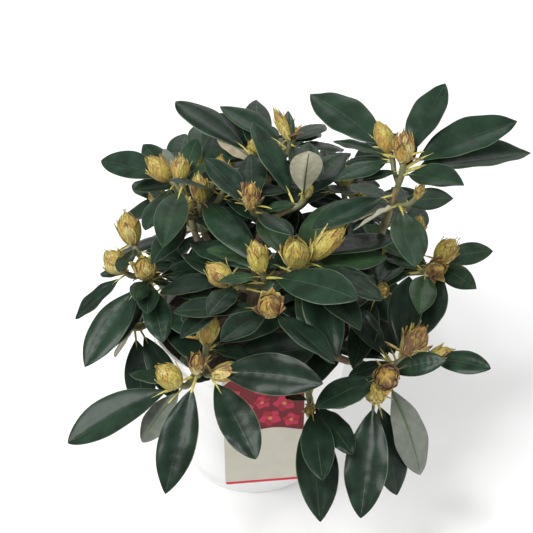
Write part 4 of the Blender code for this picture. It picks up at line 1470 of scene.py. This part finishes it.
def add_bract(store, base, bud, rng):
    """A thin dry bract that stands off the foot of the bud."""
    bearing = bud[0] + rng.uniform(0, 360)
    leaf = Leaf(
        root=Vector(base) + heading(*bud[:2]) * rng.uniform(0.5, 3),
        bearing=bearing,
        rise=rng.uniform(5, 70),
        length=rng.uniform(0.4, 0.95) * bud[2],
        width=rng.uniform(1.8, 3.6),
        roll=rng.uniform(-50, 50),
    )
    share = np.linspace(0, 0.98, BRACT_ROWS)
    points, across, up = leaf_lines(leaf, share, rng.uniform(-60, 60))
    half = leaf.width / 2 * (0.45 + share) * (1 - share) ** 0.6 * 1.2
    reach = half[:, None] * np.array([-1, 0, 1])[None, :]
    grid = thin_shell(points, across, up, reach, 0.6 * np.abs(reach), BRACT_THICKNESS)
    store.add_grid(grid, rng.choice([GREEN, STRAW, OCHRE, BROWN]))


def make_buds(growth):
    """The winter buds: scales set by the golden angle, and dry bracts."""
    scales = Store()
    bracts = Store()
    rng = random.Random(4242)
    for name in MASSES:
        for order, (base, bud) in enumerate(growth.buds[name], 1):
            small = bud[2] < SMALL_BUD_LENGTH
            dry = BUD_DRYNESS.get((name, order), rng.uniform(*FRESH_DRYNESS))
            add_scales(scales, base, bud, dry, SMALL_SCALE_COUNT if small else SCALE_COUNT, rng)
            for _ in range(1 if small else BRACT_COUNT + int(dry * 4)):
                add_bract(bracts, base, bud, rng)
    finishes = [scale_finish(name, colour) for name, colour in SCALE_COLOURS.items()]
    settle(scales.build("bud_scales", finishes, sharp=55), "leaf", *FOLIAGE_NODES)
    settle(bracts.build("bud_bracts", finishes, sharp=55), "leaf", *FOLIAGE_NODES)


def wall_radius(height):
    """The pot's outer radius below the rim's band."""
    share = height / (POT_HEIGHT - RIM_DEPTH)
    return POT_BASE_RADIUS + (RIM_RADIUS - RIM_STEP - POT_BASE_RADIUS) * share


def arc(centre, radius, first, last, count=6):
    """Points round a quarter or half circle, from one angle to another."""
    angles = np.radians(np.linspace(first, last, count))
    return [(centre[0] + radius * math.cos(a), centre[1] + radius * math.sin(a)) for a in angles]


def turned_grid(profile, steps):
    turn = np.linspace(0, math.tau, steps, endpoint=False)[None, :]
    radius = np.array([point[0] for point in profile])[:, None]
    height = np.array([point[1] for point in profile])[:, None] + 0 * turn
    return np.stack([radius * np.cos(turn), radius * np.sin(turn), height], axis=-1)


def make_pot():
    """The pot as a moulded shell with a rolled rim, a stepped band and a foot ring."""
    band = POT_HEIGHT - RIM_DEPTH
    inner_top = wall_radius(band) - POT_WALL
    rim_inside = RIM_RADIUS - POT_WALL - 1
    profile = [
        (0.5, POT_FLOOR),
        *arc((POT_BASE_RADIUS - POT_WALL - 3, POT_FLOOR + 3), 3, -90, -8),
        (inner_top, band - 1),
        (inner_top + 0.4, band),
        (rim_inside - 0.4, band + 2),
        (rim_inside, band + 2.6),
        (rim_inside, POT_HEIGHT - RIM_BEAD),
        *arc((rim_inside + RIM_BEAD, POT_HEIGHT - RIM_BEAD), RIM_BEAD, 180, 90),
        *arc((RIM_RADIUS - RIM_ROUND, POT_HEIGHT - RIM_ROUND), RIM_ROUND, 90, 0),
        (RIM_RADIUS, POT_HEIGHT - 3.0),
        (RIM_RADIUS - 0.5, POT_HEIGHT - 3.6),
        (RIM_RADIUS - 0.5, band + 3.6),
        (RIM_RADIUS, band + 3.0),
        *arc((RIM_RADIUS - 1, band + 1), 1, 0, -90, 5),
        (wall_radius(band) + 0.6, band),
        (wall_radius(band), band - 1),
        *[(wall_radius(height), height) for height in (150, 120, 90, 60, 30)],
        (wall_radius(9), 9),
        (wall_radius(8) - 0.5, 8),
        (wall_radius(4) - 0.5, 4),
        *arc((POT_BASE_RADIUS - 2, 2), 2, 0, -90),
        (POT_BASE_RADIUS - 7, 0),
        (POT_BASE_RADIUS - 8, 0.8),
        (0.5, 0.8),
    ]
    store = Store()
    store.add_grid(turned_grid(profile, FINE_POT_STEPS))
    settle(store.build("pot_shell", [pot_finish()], sharp=40), "pot_plastic", "pot")


def mix_height(x, y):
    """The rough top of the potting mix, a little dished and higher round the stem."""
    away = math.hypot(x, y)
    dish = SOIL_DISH * min(1.0, max(0.0, away - STEM_FLARE - 8) / 35)
    rough = 1.5 * noise.noise(Vector((x, y, 3)) * 0.09) + 0.8 * noise.noise(Vector((x, y, 9)) * 0.35)
    return SOIL_LEVEL - dish + rough


def make_mix_bed(inside):
    """A rough bed of dark mix, down to the pot's floor."""
    reaches = [0.5, *np.linspace(3, inside, MIX_RINGS)]
    grid = turned_grid([(reach, SOIL_LEVEL) for reach in reaches], MIX_STEPS)
    for row in grid:
        for corner in row:
            corner[2] = mix_height(corner[0], corner[1])
    foot = POT_FLOOR + GAP
    below = [
        (inside - 0.5, SOIL_LEVEL - SOIL_DISH - 6),
        (POT_BASE_RADIUS - POT_WALL - 3, foot + 1),
        (0.5, foot + 1),
    ]
    bed = Store()
    bed.add_grid(np.concatenate([grid, turned_grid(below, MIX_STEPS)]))
    finish = mix_finish("mix_dark", (0.035, 0.026, 0.018))
    settle(bed.build("mix_bed", [finish], sharp=60), "potting_mix", "potting_mix")


def add_crumb(store, inside, rng):
    """A crumb or a longer, flatter bark chip somewhere on the mix."""
    away = math.sqrt(rng.uniform(0.035, 1)) * (inside - 4)
    side = rng.uniform(0, math.tau)
    x = away * math.cos(side)
    y = away * math.sin(side)
    chip = rng.random() < CHIP_SHARE
    size = rng.uniform(*(CHIP_SIZES if chip else CRUMB_SIZES))
    axis = heading(rng.uniform(0, 360), rng.uniform(-25, 25))
    middle = Vector((x, y, mix_height(x, y) + size * 0.2))
    path = [middle + axis * size * step for step in (-0.9, -0.3, 0.35, 0.9)]
    wide = [size * 0.5 * share * rng.uniform(0.7, 1.1) for share in (0.35, 1, 0.9, 0.3)]
    finishes = [DARK_CRUMB, BROWN_CRUMB]
    if chip:
        wide = [part * CHIP_FLATNESS for part in wide]
        finishes = [DARK_CRUMB, DARK_CRUMB, BROWN_CRUMB, BARK_CRUMB]
    store.add_grid(round_grid(path, wide, 6), rng.choice(finishes))


def make_potting_mix():
    """The bed of mix with crumbs and bark chips on it."""
    inside = wall_radius(SOIL_LEVEL - SOIL_DISH) - POT_WALL - 2 * GAP
    make_mix_bed(inside)
    crumbs = Store()
    rng = random.Random(77)
    for _ in range(CRUMB_COUNT):
        add_crumb(crumbs, inside, rng)
    finishes = [
        mix_finish("crumb_dark", (0.045, 0.032, 0.022)),
        mix_finish("crumb_brown", (0.085, 0.052, 0.03)),
        mix_finish("crumb_bark", (0.17, 0.105, 0.06)),
    ]
    settle(crumbs.build("mix_crumbs", finishes, sharp=40), "potting_mix", "potting_mix")


def label_place():
    """A way from (right, height, depth out) on the label to points in space."""
    out = np.array(heading(LABEL_BEARING, 0))
    right = np.array(heading(LABEL_BEARING + 90, 0))

    def place(x, z, depth):
        return out * (RIM_RADIUS + GAP + depth) + right * x + UP * z

    return place


def round_corners(half, low, high, radius):
    """A rectangle's outline with round corners."""
    return [
        *arc((half - radius, low + radius), radius, -90, 0),
        *arc((half - radius, high - radius), radius, 0, 90),
        *arc((-half + radius, high - radius), radius, 90, 180),
        *arc((-half + radius, low + radius), radius, 180, 270),
    ]


def petal_outline(middle, turn, length, width):
    """One petal's outline, from the flower's middle outwards, with a notch at its tip."""
    shares = np.linspace(0, 1, PETAL_POINTS)
    sides = [width / 2 * math.sin(math.pi * share**0.8) for share in shares]
    points = [(length * share, side) for share, side in zip(shares, sides)]
    points[-1] = (length * (1 - PETAL_NOTCH), 0)
    points += [(length * share, -side) for share, side in zip(shares[-2:0:-1], sides[-2:0:-1])]
    cos = math.cos(turn)
    sin = math.sin(turn)
    return [(middle[0] + x * cos - z * sin, middle[1] + x * sin + z * cos) for x, z in points]


def settle_label(store, name, finishes):
    settle(store.build(name, finishes, sharp=40), "label_card", "label")


def make_card(place):
    """The card with the hook that holds it on the rim."""
    card = Store()
    outline = round_corners(LABEL_WIDTH / 2, LABEL_BOTTOM, LABEL_TOP, LABEL_CORNER)
    card.add_plate(outline, place, 0, LABEL_THICKNESS)
    half_hook = HOOK_WIDTH / 2
    inside = math.sqrt((RIM_RADIUS - POT_WALL - 1) ** 2 - half_hook**2) - 2 * GAP
    outer = RIM_RADIUS + GAP
    top = POT_HEIGHT + GAP
    thick = LABEL_THICKNESS
    hook = [
        (outer + thick / 2, top),
        *arc((outer - 0.4, top + thick / 2), thick / 2, -10, 90),
        *arc((inside + 0.4, top - 0.2), thick + 0.2, 90, 180),
        (inside - thick, top - HOOK_DROP),
        (inside, top - HOOK_DROP),
        (inside, top),
    ]
    sides = (-half_hook, half_hook)
    card.add_grid(np.array([[place(x, z, reach - outer) for reach, z in hook] for x in sides]))
    # The card is white; its base colour is darkened to a grey cream, which is painted shade from the
    # leaves that hang over it.
    settle_label(card, "label_card", [card_finish("card_painted_shade", (0.49, 0.47, 0.4))])


def print_on_label(name, outline, place, finish):
    """A thin printed layer that stands a little proud of the card."""
    layer = Store()
    layer.add_plate(outline, place, LABEL_THICKNESS - PRINT_SINK, LABEL_THICKNESS + PRINT_LAYER)
    settle_label(layer, name, [finish])


def stripe_outline():
    half = LABEL_WIDTH / 2
    low = LABEL_BOTTOM + 0.5
    high = LABEL_BOTTOM + STRIPE_HEIGHT
    return [(-half + 1.2, low), (half - 1.2, low), (half - 0.2, high), (-half + 0.2, high)]


def picture_outline():
    """The picture's field, with a wavy lower edge and cut upper corners."""
    side = LABEL_WIDTH / 2 - PICTURE_INSET
    wave = [
        (x, PICTURE_FOOT + PICTURE_WAVE * math.sin(x * 0.085 + 0.8))
        for x in np.linspace(-side, side, 36)
    ]
    corner = LABEL_WIDTH / 2 - PICTURE_CORNER
    low = LABEL_TOP - PICTURE_CORNER
    high = LABEL_TOP - 0.6
    return [*wave, (side, low), (corner, high), (-corner, high), (-side, low)]


def make_flowers(place):
    """Plain flowers of five petals in relief, kept within the card's width."""
    petals = Store()
    rng = random.Random(9)
    edge = LABEL_WIDTH / 2 - BLOOM_INSET
    face = LABEL_THICKNESS
    for x, z, size in BLOOMS:
        first = rng.uniform(0, math.tau)
        for petal in range(PETALS):
            turn = first + math.tau * petal / PETALS
            outline = petal_outline((x, z), turn, size * 0.72, size * 0.62)
            outline = [(min(max(px, -edge), edge), pz) for px, pz in outline]
            front = face + PRINT_LAYER + 0.12 + 0.03 * petal
            petals.add_plate(outline, place, face, front, petal % 2)
        middle = arc((x, z), size * 0.13, 0, 345, 14)
        petals.add_plate(middle, place, face, face + PRINT_LAYER + 0.4, 2)
    finishes = [
        card_finish("print_pink", (0.42, 0.018, 0.06)),
        card_finish("print_magenta", (0.28, 0.008, 0.024)),
        card_finish("print_yellow", (0.5, 0.2, 0.06)),
    ]
    settle_label(petals, "label_flowers", finishes)


def make_label():
    """The card, its red foot stripe and its picture field with flowers."""
    place = label_place()
    make_card(place)
    red = card_finish("card_red", (0.55, 0.02, 0.05))
    print_on_label("label_stripe", stripe_outline(), place, red)
    rose = card_finish("card_rose", (0.13, 0.004, 0.01))
    print_on_label("label_field", picture_outline(), place, rose)
    make_flowers(place)


def make_floor():
    half = FLOOR_SIZE / 2
    steps = FLOOR_STEPS
    line = np.linspace(-half, half, steps)
    mesh = bpy.data.meshes.new("floor")
    corners = [(x, y, 0.0) for y in line for x in line]
    faces = [
        (j * steps + i, j * steps + i + 1, (j + 1) * steps + i + 1, (j + 1) * steps + i)
        for j in range(steps - 1)
        for i in range(steps - 1)
    ]
    mesh.from_pydata(corners, [], faces)
    floor = bpy.data.objects.new("floor", mesh)
    bpy.context.scene.collection.objects.link(floor)
    made = Finish("floor_paper", (0.9, 0.9, 0.9), 0.9)
    made.colour_from(made.mottle(300, 0.99, 1.01))
    mesh.materials.append(made.material)


def make_camera():
    data = bpy.data.cameras.new("camera")
    data.sensor_width = SENSOR_WIDTH
    data.lens = SENSOR_WIDTH * CAMERA_DISTANCE / (FRAME_PIXELS * MM)
    camera = bpy.data.objects.new("camera", data)
    tilt = math.radians(CAMERA_ELEVATION)
    back = Vector((0, -math.cos(tilt), math.sin(tilt)))
    camera.location = CAMERA_TARGET + back * CAMERA_DISTANCE
    camera.rotation_euler = (math.radians(90) - tilt, 0, 0)
    bpy.context.scene.collection.objects.link(camera)
    bpy.context.scene.camera = camera


def add_light(name, place, size, power):
    data = bpy.data.lights.new(name, "AREA")
    data.shape = "DISK"
    data.size = size
    data.energy = power
    lamp = bpy.data.objects.new(name, data)
    lamp.location = place
    aim = Vector(LIGHT_AIM) - Vector(place)
    lamp.rotation_euler = aim.to_track_quat("-Z", "Y").to_euler()
    bpy.context.scene.collection.objects.link(lamp)


def make_light():
    """Soft studio light from above and the left, with a pale surround."""
    for name, (place, size, power) in LIGHTS.items():
        add_light(name, place, size, power)
    world = bpy.data.worlds.new("surround")
    world.use_nodes = True
    background = world.node_tree.nodes["Background"]
    background.inputs["Color"].default_value = (1, 1, 1, 1)
    background.inputs["Strength"].default_value = SURROUND
    bpy.context.scene.world = world
    bpy.context.scene.view_settings.view_transform = "Standard"


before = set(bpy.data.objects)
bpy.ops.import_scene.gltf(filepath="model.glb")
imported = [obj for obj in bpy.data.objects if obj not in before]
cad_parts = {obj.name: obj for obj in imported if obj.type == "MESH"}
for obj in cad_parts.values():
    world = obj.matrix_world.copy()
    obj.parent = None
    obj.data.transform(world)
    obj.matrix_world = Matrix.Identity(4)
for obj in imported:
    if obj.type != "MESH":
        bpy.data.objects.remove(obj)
cad_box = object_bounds()
make_camera()
make_light()
make_floor()
limb_routes = route_boughs()
plant, twig_lines = grow_plant(limb_routes)
grow_finer(plant, twig_lines, (cad_box[0] / MM, cad_box[1] / MM))
make_limbs(limb_routes)
make_twigs(plant)
make_leaves(plant)
make_buds(plant)
make_pot()
make_potting_mix()
make_label()
